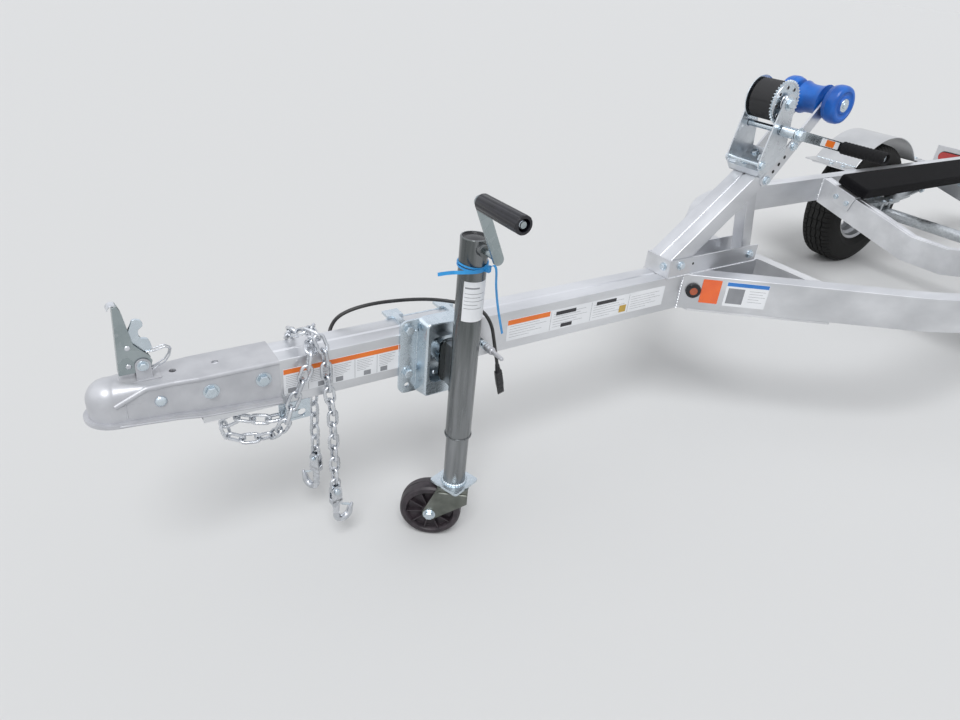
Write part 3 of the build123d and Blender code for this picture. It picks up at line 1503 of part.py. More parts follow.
# Angle brackets from the rails' outer faces, under the fenders' tabs
with BuildPart() as fender_brackets:
    for side in (-1, 1):
        for end in (-1, 1):
            bracket_x = axle_x + end * (tab_middle + fender_sheet)
            with BuildSketch(Plane.YZ.offset(bracket_x - fender_bracket_length / 2)):
                with BuildLine():
                    root = side * frame_half_width
                    tip = side * (fender_inner_y + fender_width - 2 * fender_sheet)
                    Polyline(
                        (root, tab_z),
                        (tip, tab_z),
                        (tip, tab_z - fender_bracket_thickness),
                        (root + side * fender_bracket_thickness, tab_z - fender_bracket_thickness),
                        (root + side * fender_bracket_thickness, tongue_bottom),
                        (root, tongue_bottom),
                        close=True,
                    )
                make_face()
            extrude(amount=fender_bracket_length)

# Tail lamps on plates that stand out from the rails behind the fenders
lamp_x = station(lamp_plate_station)
lamp_y = frame_half_width + lamp_plate_width / 2
lamp_z = deck_height - tongue_depth / 2
with BuildPart() as tail_lamp_plates:
    for side in (-1, 1):
        with BuildSketch(Plane.YZ.offset(lamp_x)):
            with Locations((side * lamp_y, lamp_z)):
                Rectangle(lamp_plate_width, lamp_plate_height)
                SlotOverall(lamp_width, lamp_height, mode=Mode.SUBTRACT)
        extrude(amount=lamp_plate_thickness)
        with BuildSketch(Plane.YZ.offset(lamp_x + lamp_plate_thickness)):
            with Locations((side * (frame_half_width + lamp_plate_thickness / 2), lamp_z)):
                Rectangle(lamp_plate_thickness, tongue_depth * 0.8)
        extrude(amount=tongue_depth / 2)
with BuildPart() as tail_lamps:
    for side in (-1, 1):
        with BuildSketch(Plane.YZ.offset(lamp_x - lamp_proud)):
            with Locations((side * lamp_y, lamp_z)):
                SlotOverall(lamp_width - 2 * seat_gap, lamp_height - 2 * seat_gap)
        extrude(amount=2 * lamp_proud)

# Side marker lamps on the rails' outer faces, near the tongue
marker_along = Vector(cos(slope), sin(slope), 0)
marker_out = Vector(-sin(slope), cos(slope), 0)
marker_at = (
    Vector(station(rail_mouth_station), far_side, deck_height - marker_below) + marker_along * marker_run
)
with BuildPart() as side_markers:
    for side in (-1, 1):
        place = Vector(marker_at.X, side * marker_at.Y, marker_at.Z)
        facing = Vector(marker_out.X, side * marker_out.Y, 0)
        for radius, proud in ((marker_grommet_radius, marker_grommet_proud), (marker_radius, marker_proud)):
            with BuildSketch(Plane(origin=place, x_dir=(0, 0, 1), z_dir=facing)):
                Circle(radius)
            extrude(amount=proud)

# Bunks: long boards parallel to the slope of the cross members, carried on angle plates
bunk_length = overall_length - bunk_from_end - bunk_front
bunk_middle_x = station(bunk_front + bunk_length / 2)
plate_stand = bunk_plate_thickness


def bunk_plane(x, lift):
    """Plane parallel to the cross member's right-hand leg at the bunk's middle, that far above its top face."""
    foot_z = member_height(bunk_centre_y, 0)
    normal = Vector(0, -sin(member_slope), cos(member_slope))
    return Plane(origin=Vector(x, bunk_centre_y, foot_z) + normal * lift, x_dir=(1, 0, 0), z_dir=normal)


with BuildPart() as bunk_right:
    with BuildSketch(bunk_plane(bunk_middle_x, plate_stand)):
        Rectangle(bunk_length, bunk_width)
    extrude(amount=bunk_thickness)
    fillet(bunk_right.edges().filter_by(Axis.X), radius=bunk_corner)
bunk_left = mirrored(bunk_right)

with BuildPart() as bunk_brackets:
    for member_x in member_xs.values():
        plate_length = rail_width + 2 * bunk_plate_overhang
        with BuildSketch(bunk_plane(member_x, 0)):
            Rectangle(plate_length, bunk_plate_width)
        extrude(amount=plate_stand)
        leg_x = member_x - rail_width / 2 - bunk_plate_overhang / 2
        with BuildSketch(bunk_plane(leg_x, 0)):
            Rectangle(bunk_plate_overhang, bunk_plate_width)
        extrude(amount=-bunk_leg_height)
    mirror(about=Plane.XZ)

# Wiring cable: out of a grommet in the tongue's far side, up over the mount, back to the near side
with BuildPart() as cable_grommet:
    with BuildSketch(Plane(origin=(station(grommet_station), far_side, above(grommet_above)), z_dir=(0, 1, 0))):
        Circle(2 * cable_radius)
    extrude(amount=grommet_thickness)

# station, y, height above the deck
cable_route = (
    (grommet_station, far_side + grommet_thickness, grommet_above),
    (grommet_station, far_side + grommet_thickness + 13, grommet_above),
    (486, 66, -9),
    (501, 66, 13),
    (531, 59, 29),
    (576, 52, 37),
    (622, 50, 36),
    (674, 47, 32),
    (718, 36, 29),
    (757, 14, 26),
    (787, -16, 25),
    (806, -44, 18),
    (817, -64, -8),
    (823, -70, -44),
    (835, -66, -84),
    (848, -60, -122),
)
cable_points = [Vector(station(s), y, above(height)) for s, y, height in cable_route]
cable_runs = [end - start for start, end in zip(cable_points, cable_points[1:])]
cable_radii = []
for before, after in zip(cable_runs, cable_runs[1:]):
    turn = radians(before.get_angle(after))
    cable_radii.append(0.45 * min(before.length, after.length) / tan(turn / 2))
print("cable bend radii", [round(radius) for radius in cable_radii])
with BuildPart() as wiring_cable:
    with BuildLine() as cable_path:
        FilletPolyline(*cable_points, radius=cable_radii)
    with BuildSketch(Plane(origin=cable_path.line @ 0, z_dir=cable_path.line % 0)):
        Circle(cable_radius)
    sweep(path=cable_path.line)
cable_length = cable_path.wire().length
print("cable length", round(cable_length), "volume ratio",
      round(wiring_cable.part.volume / (cable_length * pi * cable_radius**2), 4))

# Flat plug on the cable's end, hanging
plug_plane = Plane(origin=cable_path.line @ 1, x_dir=(1, 0, 0), z_dir=cable_path.line % 1)
with BuildPart() as wiring_plug:
    with BuildSketch(plug_plane):
        RectangleRounded(plug_width, plug_thickness, plug_thickness / 4)
    extrude(amount=plug_length)

pieces = {
    "coupler": coupler,
    "coupler_latch": coupler_latch,
    "tongue": tongue,
    "chain_bracket": chain_bracket,
    "safety_chain_one": safety_chain_one,
    "safety_chain_two": safety_chain_two,
    "chain_hook_one": chain_hook_one,
    "chain_hook_two": chain_hook_two,
    "jack_mount": jack_mount,
    "jack_outer_tube": jack_outer_tube,
    "jack_cap": jack_cap,
    "jack_inner_tube": jack_inner_tube,
    "caster_yoke": caster_yoke,
    "caster_wheel": caster_wheel,
    "jack_crank": jack_crank,
    "jack_crank_grip": jack_crank_grip,
    "rail_left": rail_left,
    "rail_right": rail_right,
    "end_caps": end_caps,
    "crossmember_front": crossmember_front,
    "crossmember_middle": crossmember_middle,
    "crossmember_rear": crossmember_rear,
    "front_gusset": front_gusset,
    "post_shoe": post_shoe,
    "winch_post": winch_post,
    "post_strut": post_strut,
    "winch_frame": winch_frame,
    "winch_drum": winch_drum,
    "winch_strap": winch_strap,
    "winch_crank": winch_crank,
    "winch_crank_grip": winch_crank_grip,
    "roller_arms": roller_arms,
    "bow_roller": bow_roller,
    "axle": axle,
    "spring_left": spring_left,
    "spring_right": spring_right,
    "tyre_left": tyre_left,
    "tyre_right": tyre_right,
    "rim_left": rim_left,
    "rim_right": rim_right,
    "fender_left": fender_left,
    "fender_right": fender_right,
    "fender_brackets": fender_brackets,
    "tail_lamp_plates": tail_lamp_plates,
    "tail_lamps": tail_lamps,
    "side_markers": side_markers,
    "bunk_left": bunk_left,
    "bunk_right": bunk_right,
    "bunk_brackets": bunk_brackets,
    "cable_grommet": cable_grommet,
    "wiring_cable": wiring_cable,
    "wiring_plug": wiring_plug,
}
os.makedirs("parts", exist_ok=True)
for name, piece in pieces.items():
    piece.part.label = name
    export_step(piece.part, f"parts/{name}.step")
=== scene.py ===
import json
from math import acos, atan, atan2, cos, degrees, pi, radians, sin, sqrt, tan

import bmesh
import bpy
from mathutils import Matrix, Vector
from mathutils.geometry import tessellate_polygon
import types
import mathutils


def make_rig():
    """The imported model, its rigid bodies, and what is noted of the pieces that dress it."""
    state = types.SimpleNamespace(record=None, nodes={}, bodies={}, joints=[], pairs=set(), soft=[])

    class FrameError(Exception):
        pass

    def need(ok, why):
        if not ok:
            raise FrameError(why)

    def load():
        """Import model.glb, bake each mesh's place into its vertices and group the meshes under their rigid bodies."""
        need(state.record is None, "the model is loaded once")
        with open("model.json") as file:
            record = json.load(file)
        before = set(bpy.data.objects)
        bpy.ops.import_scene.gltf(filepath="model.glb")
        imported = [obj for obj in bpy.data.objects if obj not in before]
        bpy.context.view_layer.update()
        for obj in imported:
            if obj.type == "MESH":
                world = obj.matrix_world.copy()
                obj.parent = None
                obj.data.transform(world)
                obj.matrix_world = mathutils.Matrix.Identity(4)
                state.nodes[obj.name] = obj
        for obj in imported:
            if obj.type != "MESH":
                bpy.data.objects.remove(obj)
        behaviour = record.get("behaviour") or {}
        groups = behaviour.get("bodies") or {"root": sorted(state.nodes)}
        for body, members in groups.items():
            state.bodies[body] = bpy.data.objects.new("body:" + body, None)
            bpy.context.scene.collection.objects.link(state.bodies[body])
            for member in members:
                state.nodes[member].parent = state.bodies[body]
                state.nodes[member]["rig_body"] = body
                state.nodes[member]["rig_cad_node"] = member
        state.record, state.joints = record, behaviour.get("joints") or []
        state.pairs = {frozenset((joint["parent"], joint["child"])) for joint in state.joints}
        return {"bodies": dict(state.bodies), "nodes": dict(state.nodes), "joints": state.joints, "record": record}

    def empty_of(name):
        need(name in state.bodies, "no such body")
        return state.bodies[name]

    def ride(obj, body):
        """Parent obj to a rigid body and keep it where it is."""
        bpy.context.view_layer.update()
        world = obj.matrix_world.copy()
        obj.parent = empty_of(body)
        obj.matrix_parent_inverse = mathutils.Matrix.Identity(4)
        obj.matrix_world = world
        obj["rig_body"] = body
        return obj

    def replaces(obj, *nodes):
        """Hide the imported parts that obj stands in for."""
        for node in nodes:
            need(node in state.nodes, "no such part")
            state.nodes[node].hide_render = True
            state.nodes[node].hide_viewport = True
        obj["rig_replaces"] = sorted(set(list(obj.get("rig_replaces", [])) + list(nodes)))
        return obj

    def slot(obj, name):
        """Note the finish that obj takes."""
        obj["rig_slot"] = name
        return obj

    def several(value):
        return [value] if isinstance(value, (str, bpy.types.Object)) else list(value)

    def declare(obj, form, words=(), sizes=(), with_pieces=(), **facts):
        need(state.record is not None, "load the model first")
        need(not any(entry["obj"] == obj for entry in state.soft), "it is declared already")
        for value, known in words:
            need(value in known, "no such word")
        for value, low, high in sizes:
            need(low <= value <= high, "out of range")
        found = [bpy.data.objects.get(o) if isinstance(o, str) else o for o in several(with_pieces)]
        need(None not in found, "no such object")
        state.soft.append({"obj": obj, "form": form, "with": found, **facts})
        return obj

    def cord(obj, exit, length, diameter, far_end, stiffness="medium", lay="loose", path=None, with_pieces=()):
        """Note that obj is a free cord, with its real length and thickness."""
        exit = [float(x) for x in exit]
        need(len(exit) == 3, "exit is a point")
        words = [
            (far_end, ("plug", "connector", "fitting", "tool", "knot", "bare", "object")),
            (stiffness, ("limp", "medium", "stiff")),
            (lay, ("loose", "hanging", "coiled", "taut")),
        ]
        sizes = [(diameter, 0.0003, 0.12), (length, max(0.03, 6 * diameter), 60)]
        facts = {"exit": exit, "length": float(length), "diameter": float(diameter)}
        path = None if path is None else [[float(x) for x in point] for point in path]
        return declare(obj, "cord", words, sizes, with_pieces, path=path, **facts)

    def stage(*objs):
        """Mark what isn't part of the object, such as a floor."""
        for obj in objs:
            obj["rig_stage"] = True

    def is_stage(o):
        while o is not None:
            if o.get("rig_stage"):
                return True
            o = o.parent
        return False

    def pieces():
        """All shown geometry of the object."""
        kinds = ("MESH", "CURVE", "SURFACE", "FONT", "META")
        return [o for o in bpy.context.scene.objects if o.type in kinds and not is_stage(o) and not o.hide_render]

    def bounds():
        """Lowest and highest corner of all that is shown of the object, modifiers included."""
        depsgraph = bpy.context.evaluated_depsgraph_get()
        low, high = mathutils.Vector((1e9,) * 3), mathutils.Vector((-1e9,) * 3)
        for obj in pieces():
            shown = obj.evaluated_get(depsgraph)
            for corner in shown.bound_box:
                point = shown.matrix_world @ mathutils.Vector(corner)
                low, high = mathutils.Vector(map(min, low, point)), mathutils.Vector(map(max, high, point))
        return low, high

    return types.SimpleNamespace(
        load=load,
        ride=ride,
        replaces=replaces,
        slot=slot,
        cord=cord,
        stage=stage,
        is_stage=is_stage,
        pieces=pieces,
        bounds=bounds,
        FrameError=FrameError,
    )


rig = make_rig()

# The looks of a bunk boat trailer of bare aluminium. Sizes are in millimetres, as in the part's own source:
# stations are distances behind the coupler's nose, "above" is a height over the deck, the frame's top faces.
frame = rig.load()
cad_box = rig.bounds()

MM = 0.001
OVERALL_LENGTH = 5100.0
DECK_HEIGHT = 515.0


def at(station, y, above):
    """Point from a station, a distance to the right of the middle and a height over the deck."""
    return Vector((station - OVERALL_LENGTH / 2, y, DECK_HEIGHT + above))


def link(name, data):
    """New object in the scene."""
    item = bpy.data.objects.new(name, data)
    bpy.context.scene.collection.objects.link(item)
    return item


# Camera, as the photograph was taken
CAMERA_PLACE = Vector((-2.5636, -1.1843, 1.2156))
CAMERA_YAW = 54.20
CAMERA_PITCH = 29.94
CAMERA_ROLL = 5.73
CAMERA_LENS = 26.02
SENSOR_WIDTH = 36.0


def make_camera():
    yaw, pitch, roll = radians(CAMERA_YAW), radians(CAMERA_PITCH), radians(CAMERA_ROLL)
    forward = Vector((cos(yaw) * cos(pitch), sin(yaw) * cos(pitch), -sin(pitch)))
    right = forward.cross(Vector((0, 0, 1))).normalized()
    up = right.cross(forward)
    right, up = right * cos(roll) + up * sin(roll), up * cos(roll) - right * sin(roll)
    camera = link("camera", bpy.data.cameras.new("camera"))
    camera.data.lens = CAMERA_LENS
    camera.data.sensor_width = SENSOR_WIDTH
    camera.matrix_world = Matrix((right, up, -forward)).transposed().to_4x4()
    camera.location = CAMERA_PLACE
    bpy.context.scene.camera = camera


def fill(tree, item, inputs):
    """Sets a node's inputs, each to a plain value or to the socket that feeds it."""
    for key, value in inputs.items():
        if isinstance(value, bpy.types.NodeSocket):
            tree.links.new(value, item.inputs[key])
        else:
            item.inputs[key].default_value = value


def node(tree, kind, inputs=None, **settings):
    item = tree.nodes.new("ShaderNode" + kind)
    for key, value in settings.items():
        setattr(item, key, value)
    fill(tree, item, inputs or {})
    return item


def ramp_from(tree, source, low, high, start=0.35, end=0.65):
    ramp = node(tree, "ValToRGB", {0: source})
    for stop, position, colour in zip(ramp.color_ramp.elements, (start, end), (low, high)):
        stop.position = position
        stop.color = (*colour, 1)
    return ramp.outputs[0]


def new_material(name):
    paint = bpy.data.materials.new(name)
    paint.use_nodes = True
    return paint, paint.node_tree, paint.node_tree.nodes["Principled BSDF"]


# Stage: a plain pale floor under soft light
FLOOR_SIZE = 400.0
FLOOR_COLOUR = (0.66, 0.67, 0.68, 1)
FLOOR_ROUGHNESS = 0.9
# colours at the horizon and overhead, strength: the light itself, and what the camera and metal see
SKY_LIGHT = ((0.50, 0.51, 0.53), (1.0, 1.0, 1.0), 0.60)
SKY_SEEN = ((0.74, 0.753, 0.768), (0.93, 0.95, 1.0), 1.0)
SKY_TOP = 0.45
# strength, softness in degrees, direction that the light goes
SUNS = (
    (1.55, 26.0, Vector((0.35, 0.55, -1.0))),
    (0.45, 60.0, Vector((0.9, -0.2, -0.7))),
)


def make_stage():
    mesh = bpy.data.meshes.new("floor")
    half = FLOOR_SIZE / 2
    corners = [(-half, -half, 0), (half, -half, 0), (half, half, 0), (-half, half, 0)]
    mesh.from_pydata(corners, [], [(0, 1, 2, 3)])
    floor = link("floor", mesh)
    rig.stage(floor)
    paint, tree, shader = new_material("floor_paint")
    fill(tree, shader, {"Base Color": FLOOR_COLOUR, "Roughness": FLOOR_ROUGHNESS})
    mesh.materials.append(paint)

    world = bpy.data.worlds.new("sky")
    bpy.context.scene.world = world
    world.use_nodes = True
    tree = world.node_tree
    coordinates = node(tree, "TexCoord")
    split = node(tree, "SeparateXYZ", {0: coordinates.outputs["Generated"]})
    skies = []
    for horizon, top, strength in (SKY_LIGHT, SKY_SEEN):
        colour = ramp_from(tree, split.outputs["Z"], horizon, top, 0.0, SKY_TOP)
        skies.append(node(tree, "Background", {"Color": colour, "Strength": strength}).outputs[0])
    path = node(tree, "LightPath")
    seen = path.outputs["Is Camera Ray"]
    for ray in ("Is Glossy Ray", "Is Transmission Ray"):
        seen = node(tree, "Math", {0: seen, 1: path.outputs[ray]}, operation="MAXIMUM").outputs[0]
    mix = node(tree, "MixShader", {0: seen, 1: skies[0], 2: skies[1]})
    fill(tree, tree.nodes["World Output"], {"Surface": mix.outputs[0]})
    for index, (strength, softness, direction) in enumerate(SUNS):
        light = bpy.data.lights.new(f"sun_{index}", "SUN")
        light.energy = strength
        light.angle = radians(softness)
        sun = link(light.name, light)
        sun.rotation_mode = "QUATERNION"
        sun.rotation_quaternion = direction.to_track_quat("-Z", "Y")
    bpy.context.scene.view_settings.view_transform = "Standard"


# Materials, whose noise scales count for a metre
def grain_from(tree, scale, stretch=(1, 1, 1), detail=4.0, turn=0.0):
    """Noise in the object's own coordinates, with its grain stretched along an axis."""
    coordinates = node(tree, "TexCoord").outputs["Object"]
    mapping = node(tree, "Mapping", {0: coordinates, "Scale": stretch, "Rotation": (0, 0, turn)})
    noise = node(tree, "TexNoise", {"Vector": mapping.outputs[0], "Scale": scale, "Detail": detail})
    return noise.outputs["Fac"]


def range_from(tree, source, low, high, start=0.3, end=0.7):
    ends = {"Value": source, "From Min": start, "From Max": end, "To Min": low, "To Max": high}
    return node(tree, "MapRange", ends).outputs[0]


def bump_from(tree, source, strength, distance, under=None):
    bump = node(tree, "Bump", {"Height": source, "Strength": strength, "Distance": distance})
    if under is not None:
        fill(tree, bump, {"Normal": under})
    return bump.outputs[0]


def relieved(made, source, strength, distance):
    """A made material whose relief comes from another pattern."""
    paint, tree, shader = made
    fill(tree, shader, {"Normal": bump_from(tree, source, strength, distance)})
    return paint


def made_surface(name, low, high, roughness, metallic=0.0, scale=30.0, stretch=(1, 1, 1), bump=0.1,
                 distance=0.0003, fine=0.0, fine_scale=900.0, turn=0.0, coat=0.0, specular=0.5):
    """Material whose colour and roughness wander along a noise, with a fine bump on top."""
    paint, tree, shader = new_material(name)
    noise = grain_from(tree, scale, stretch, turn=turn)
    relief = bump_from(tree, noise, bump, distance)
    if fine:
        relief = bump_from(tree, grain_from(tree, fine_scale, stretch, turn=turn), fine, distance, relief)
    fill(tree, shader, {
        "Metallic": metallic, "Coat Weight": coat, "Specular IOR Level": specular,
        "Base Color": ramp_from(tree, noise, low, high), "Roughness": range_from(tree, noise, *roughness),
        "Normal": relief,
    })
    return paint, tree, shader


def surface(*colours, **settings):
    return made_surface(*colours, **settings)[0]


def mill_finish(name, turn=0.0):
    """Extruded aluminium: faint die lines along the section, dull patches across it."""
    made = made_surface(name, (0.60, 0.61, 0.63), (0.76, 0.77, 0.79), (0.30, 0.46), metallic=1.0, scale=3.0,
                        stretch=(1, 3, 3), bump=0.02, distance=0.0005, turn=turn)
    return relieved(made, grain_from(made[1], 9.0, (0.6, 90, 90), detail=3.0, turn=turn), 0.10, 0.0002)


def spangled(name, low, high, roughness, cell):
    """Zinc coat: crystals of slightly different tone, under a cloudy bloom."""
    paint, tree, shader = new_material(name)
    coordinates = node(tree, "TexCoord").outputs["Object"]
    cells = node(tree, "TexVoronoi", {"Vector": coordinates, "Scale": cell})
    tone = node(tree, "SeparateColor", {0: cells.outputs["Color"]}).outputs[0]
    cloud = grain_from(tree, 14.0)
    mixed = node(tree, "Math", {0: tone, 1: 0.35, 2: cloud}, operation="MULTIPLY_ADD").outputs[0]
    fill(tree, shader, {
        "Metallic": 1.0, "Base Color": ramp_from(tree, mixed, low, high, 0.35, 0.95),
        "Roughness": range_from(tree, mixed, *roughness, 0.4, 0.9),
        "Normal": bump_from(tree, cloud, 0.06, 0.0005),
    })
    return paint


def carpet_material(name):
    """Marine carpet: short black pile."""
    paint, tree, shader = made_surface(
        name, (0.0015, 0.0015, 0.002), (0.007, 0.007, 0.009), (0.9, 1.0), scale=420.0, bump=0.8,
        distance=0.0012, fine=0.6, fine_scale=1600.0, specular=0.08)
    fill(tree, shader, {"Sheen Weight": 0.04, "Sheen Roughness": 0.6})
    return paint


def webbing_material(name, colour):
    """Woven strap: ribs across the strap's run."""
    made = made_surface(name, colour, tuple(3 * c for c in colour), (0.6, 0.8), scale=600.0, bump=0.3)
    coordinates = node(made[1], "TexCoord").outputs["Object"]
    ribs = node(made[1], "TexWave", {"Vector": coordinates, "Scale": 180.0}, bands_direction="Y")
    return relieved(made, ribs.outputs["Fac"], 0.5, 0.0004)


def lens_material(name, colour, dark):
    """Moulded lamp lens with a grid of small prisms under a smooth face."""
    made = made_surface(name, dark, colour, (0.08, 0.16), scale=14.0, bump=0.0, coat=1.0)
    coordinates = node(made[1], "TexCoord").outputs["Object"]
    grid = {"Vector": coordinates, "Randomness": 0.0, "Scale": 260.0}
    prisms = node(made[1], "TexVoronoi", grid, distance="CHEBYCHEV")
    return relieved(made, prisms.outputs["Distance"], 0.5, 0.001)


RAIL_SLOPE = radians(35.8)
PAINTS = {
    "mill": mill_finish("mill_aluminium"),
    "mill_across": mill_finish("mill_aluminium_across", turn=pi / 2),
    "galvanised": spangled("galvanised_steel", (0.40, 0.43, 0.45), (0.62, 0.65, 0.67), (0.32, 0.5), 140.0),
    "tube_zinc": surface("jack_tube_steel", (0.12, 0.13, 0.13), (0.32, 0.33, 0.34), (0.2, 0.34), metallic=1.0,
                         scale=4.0, stretch=(9, 9, 0.6), bump=0.05, distance=0.0005, fine=0.05,
                         fine_scale=40.0),
    "zinc": spangled("bright_zinc", (0.55, 0.62, 0.67), (0.66, 0.73, 0.78), (0.22, 0.30), 120.0),
    "chain": spangled("chain_zinc", (0.46, 0.48, 0.51), (0.76, 0.78, 0.81), (0.18, 0.32), 90.0),
    "latch_zinc": spangled("latch_zinc", (0.30, 0.35, 0.36), (0.40, 0.45, 0.46), (0.22, 0.30), 60.0),
    "winch_zinc": spangled("winch_zinc", (0.58, 0.61, 0.64), (0.70, 0.73, 0.76), (0.26, 0.34), 90.0),
    "grey_paint": surface("coupler_paint", (0.47, 0.48, 0.51), (0.55, 0.56, 0.59), (0.32, 0.44),
                          metallic=0.35, scale=22.0, bump=0.12, distance=0.0006, fine=0.08, coat=0.15),
    "dark_paint": surface("caster_paint", (0.11, 0.12, 0.105), (0.20, 0.21, 0.19), (0.3, 0.45), metallic=0.8,
                          scale=24.0, bump=0.1, distance=0.0005),
    "silver_paint": surface("fender_silver", (0.50, 0.51, 0.52), (0.58, 0.59, 0.60), (0.3, 0.42),
                            metallic=0.7, scale=8.0, bump=0.04, distance=0.001, fine=0.05, coat=0.2),
    "black_plastic": surface("black_plastic", (0.006, 0.006, 0.008), (0.014, 0.014, 0.017), (0.22, 0.36),
                             scale=60.0, bump=0.15, fine=0.2),
    "caster_plastic": surface("caster_plastic", (0.018, 0.014, 0.018), (0.045, 0.035, 0.042), (0.35, 0.55),
                              scale=50.0, bump=0.15, fine=0.15),
    "grip_plastic": surface("grip_plastic", (0.005, 0.005, 0.008), (0.012, 0.012, 0.018), (0.24, 0.36),
                            scale=60.0, fine=0.15),
    "foam": surface("foam_grip", (0.005, 0.005, 0.006), (0.014, 0.014, 0.015), (0.75, 0.95), scale=240.0,
                    bump=0.35, distance=0.0006, fine=0.5, fine_scale=1400.0, specular=0.3),
    "webbing": webbing_material("strap_webbing", (0.010, 0.010, 0.011)),
    "blue": surface("blue_roller_rubber", (0.002, 0.085, 0.42), (0.006, 0.14, 0.58), (0.28, 0.42), scale=24.0,
                    bump=0.08, fine=0.1),
    "tie": surface("blue_cable_tie", (0.02, 0.26, 0.62), (0.04, 0.34, 0.74), (0.3, 0.4), scale=50.0,
                   bump=0.05),
    "tyre": surface("tyre_rubber", (0.006, 0.006, 0.006), (0.017, 0.017, 0.016), (0.7, 0.9), scale=45.0,
                    bump=0.15, distance=0.0008, fine=0.25, specular=0.35),
    "red": lens_material("red_lens", (0.52, 0.012, 0.012), (0.40, 0.008, 0.008)),
    "amber": lens_material("amber_lens", (0.50, 0.10, 0.01), (0.30, 0.04, 0.01)),
    "reflector": lens_material("orange_reflector", (0.90, 0.15, 0.01), (0.80, 0.11, 0.01)),
    "carpet": carpet_material("bunk_carpet"),
    "cable": surface("cable_jacket", (0.014, 0.014, 0.015), (0.03, 0.03, 0.03), (0.35, 0.5), scale=60.0,
                     bump=0.08),
    "gusset": surface("gusset_sheet", (0.60, 0.61, 0.63), (0.74, 0.75, 0.77), (0.35, 0.5), metallic=0.45,
                      scale=8.0, bump=0.03, distance=0.001, fine=0.04),
    "weld": surface("weld_bead", (0.62, 0.63, 0.65), (0.82, 0.83, 0.85), (0.25, 0.4), metallic=1.0,
                    scale=200.0, bump=0.3, distance=0.0006),
    # painted shade: a near-black finish for the thin discs laid over holes, where only shade is seen
    "dark": surface("painted_hole_shade", (0.01, 0.01, 0.011), (0.02, 0.02, 0.022), (0.6, 0.8), scale=40.0),
    "label_dark": surface("label_dark", (0.02, 0.02, 0.025), (0.035, 0.035, 0.04), (0.4, 0.5)),
    "label_amber": surface("label_amber", (0.45, 0.30, 0.05), (0.55, 0.36, 0.07), (0.4, 0.5)),
}
for name, low, high in (
    ("label_white", (0.78, 0.80, 0.83), (0.84, 0.86, 0.89)),
    ("label_orange", (0.75, 0.16, 0.02), (0.85, 0.20, 0.02)),
    ("label_grey", (0.22, 0.23, 0.25), (0.30, 0.31, 0.33)),
    ("label_blue", (0.03, 0.18, 0.55), (0.04, 0.22, 0.62)),
):
    PAINTS[name] = surface(name, low, high, (0.3, 0.4), scale=12.0, bump=0.01)


# Shapes: vertices and faces gathered for one mesh
class Shape:
    def __init__(self):
        self.verts = []
        self.faces = []

    def __iter__(self):
        return iter((self.verts, self.faces))

    def add(self, part, place=Matrix.Identity(4)):
        """Adds a part, a pair of vertices and faces, moved by a matrix."""
        verts, faces = part
        start = len(self.verts)
        self.verts += [place @ Vector(v) for v in verts]
        self.faces += [tuple(start + i for i in face) for face in faces]
        return self


def basis(origin, z_axis, x_axis=None):
    """Matrix of a frame with its Z along one direction and its X as near as may be to another."""
    z = Vector(z_axis).normalized()
    guide = Vector(x_axis or ((1, 0, 0) if abs(z.x) < 0.9 else (0, 1, 0)))
    x = (guide - z * guide.dot(z)).normalized()
    return Matrix.Translation(origin) @ Matrix((x, z.cross(x), z)).transposed().to_4x4()


def polar(radius, angle, height=0.0):
    return Vector((radius * cos(angle), radius * sin(angle), height))


def loft(rings, closed=False):
    """Skin over rings of equally many points, capped at both ends unless it closes on itself."""
    count = len(rings[0])
    faces = []
    for i in range(len(rings) if closed else len(rings) - 1):
        a, b = i * count, (i + 1) % len(rings) * count
        faces += [(a + k, a + (k + 1) % count, b + (k + 1) % count, b + k) for k in range(count)]
    verts = [point for ring in rings for point in ring]
    if not closed:
        faces += [tuple(reversed(range(count))), tuple(range(len(verts) - count, len(verts)))]
    return verts, faces


def lathe(profile, segments=48):
    """Body of revolution about Z from a profile of (height, radius), closed where the radius is nought."""
    verts, rings = [], []
    for height, radius in profile:
        count = 1 if radius <= 0 else segments
        rings.append([len(verts) + i for i in range(count)])
        verts += [polar(radius, 2 * pi * i / count, height) for i in range(count)]
    faces = []
    for low, high in zip(rings, rings[1:]):
        for i in range(segments if len(low) + len(high) > 2 else 0):
            j = (i + 1) % segments
            if len(low) == 1:
                faces.append((low[0], high[j], high[i]))
            elif len(high) == 1:
                faces.append((low[i], low[j], high[0]))
            else:
                faces.append((low[i], low[j], high[j], high[i]))
    return verts, faces


def closed_lathe(profile, segments=48):
    """Ring of revolution about Z whose profile closes on itself."""
    return lathe(list(profile) + [profile[0]], segments)


def plate(outline, holes, low, high):
    """Flat plate between two heights, with holes; the outline and the holes are lists of (x, y)."""
    loops = [list(outline)] + [list(hole) for hole in holes]
    flat = [point for loop in loops for point in loop]
    count = len(flat)
    verts = [(x, y, low) for x, y in flat] + [(x, y, high) for x, y in flat]
    faces = []
    for a, b, c in tessellate_polygon([[Vector((x, y, 0)) for x, y in loop] for loop in loops]):
        pa, pb, pc = (Vector(flat[i]) for i in (a, b, c))
        if (pb - pa).cross(pc - pa) < 0:
            a, c = c, a
        faces += [(a + count, b + count, c + count), (c, b, a)]
    start = 0
    for loop in loops:
        size = len(loop)
        for i in range(size):
            a, b = start + i, start + (i + 1) % size
            faces.append((a, b, b + count, a + count))
        start += size
    return verts, faces


def arc(cx, cy, radius, start, end, count):
    """Points of an arc, angles in degrees."""
    angles = [radians(start + (end - start) * i / (count - 1)) for i in range(count)]
    return [(cx + radius * cos(angle), cy + radius * sin(angle)) for angle in angles]


def circle(cx, cy, radius, count=24):
    return arc(cx, cy, radius, 0, 360 * (count - 1) / count, count)


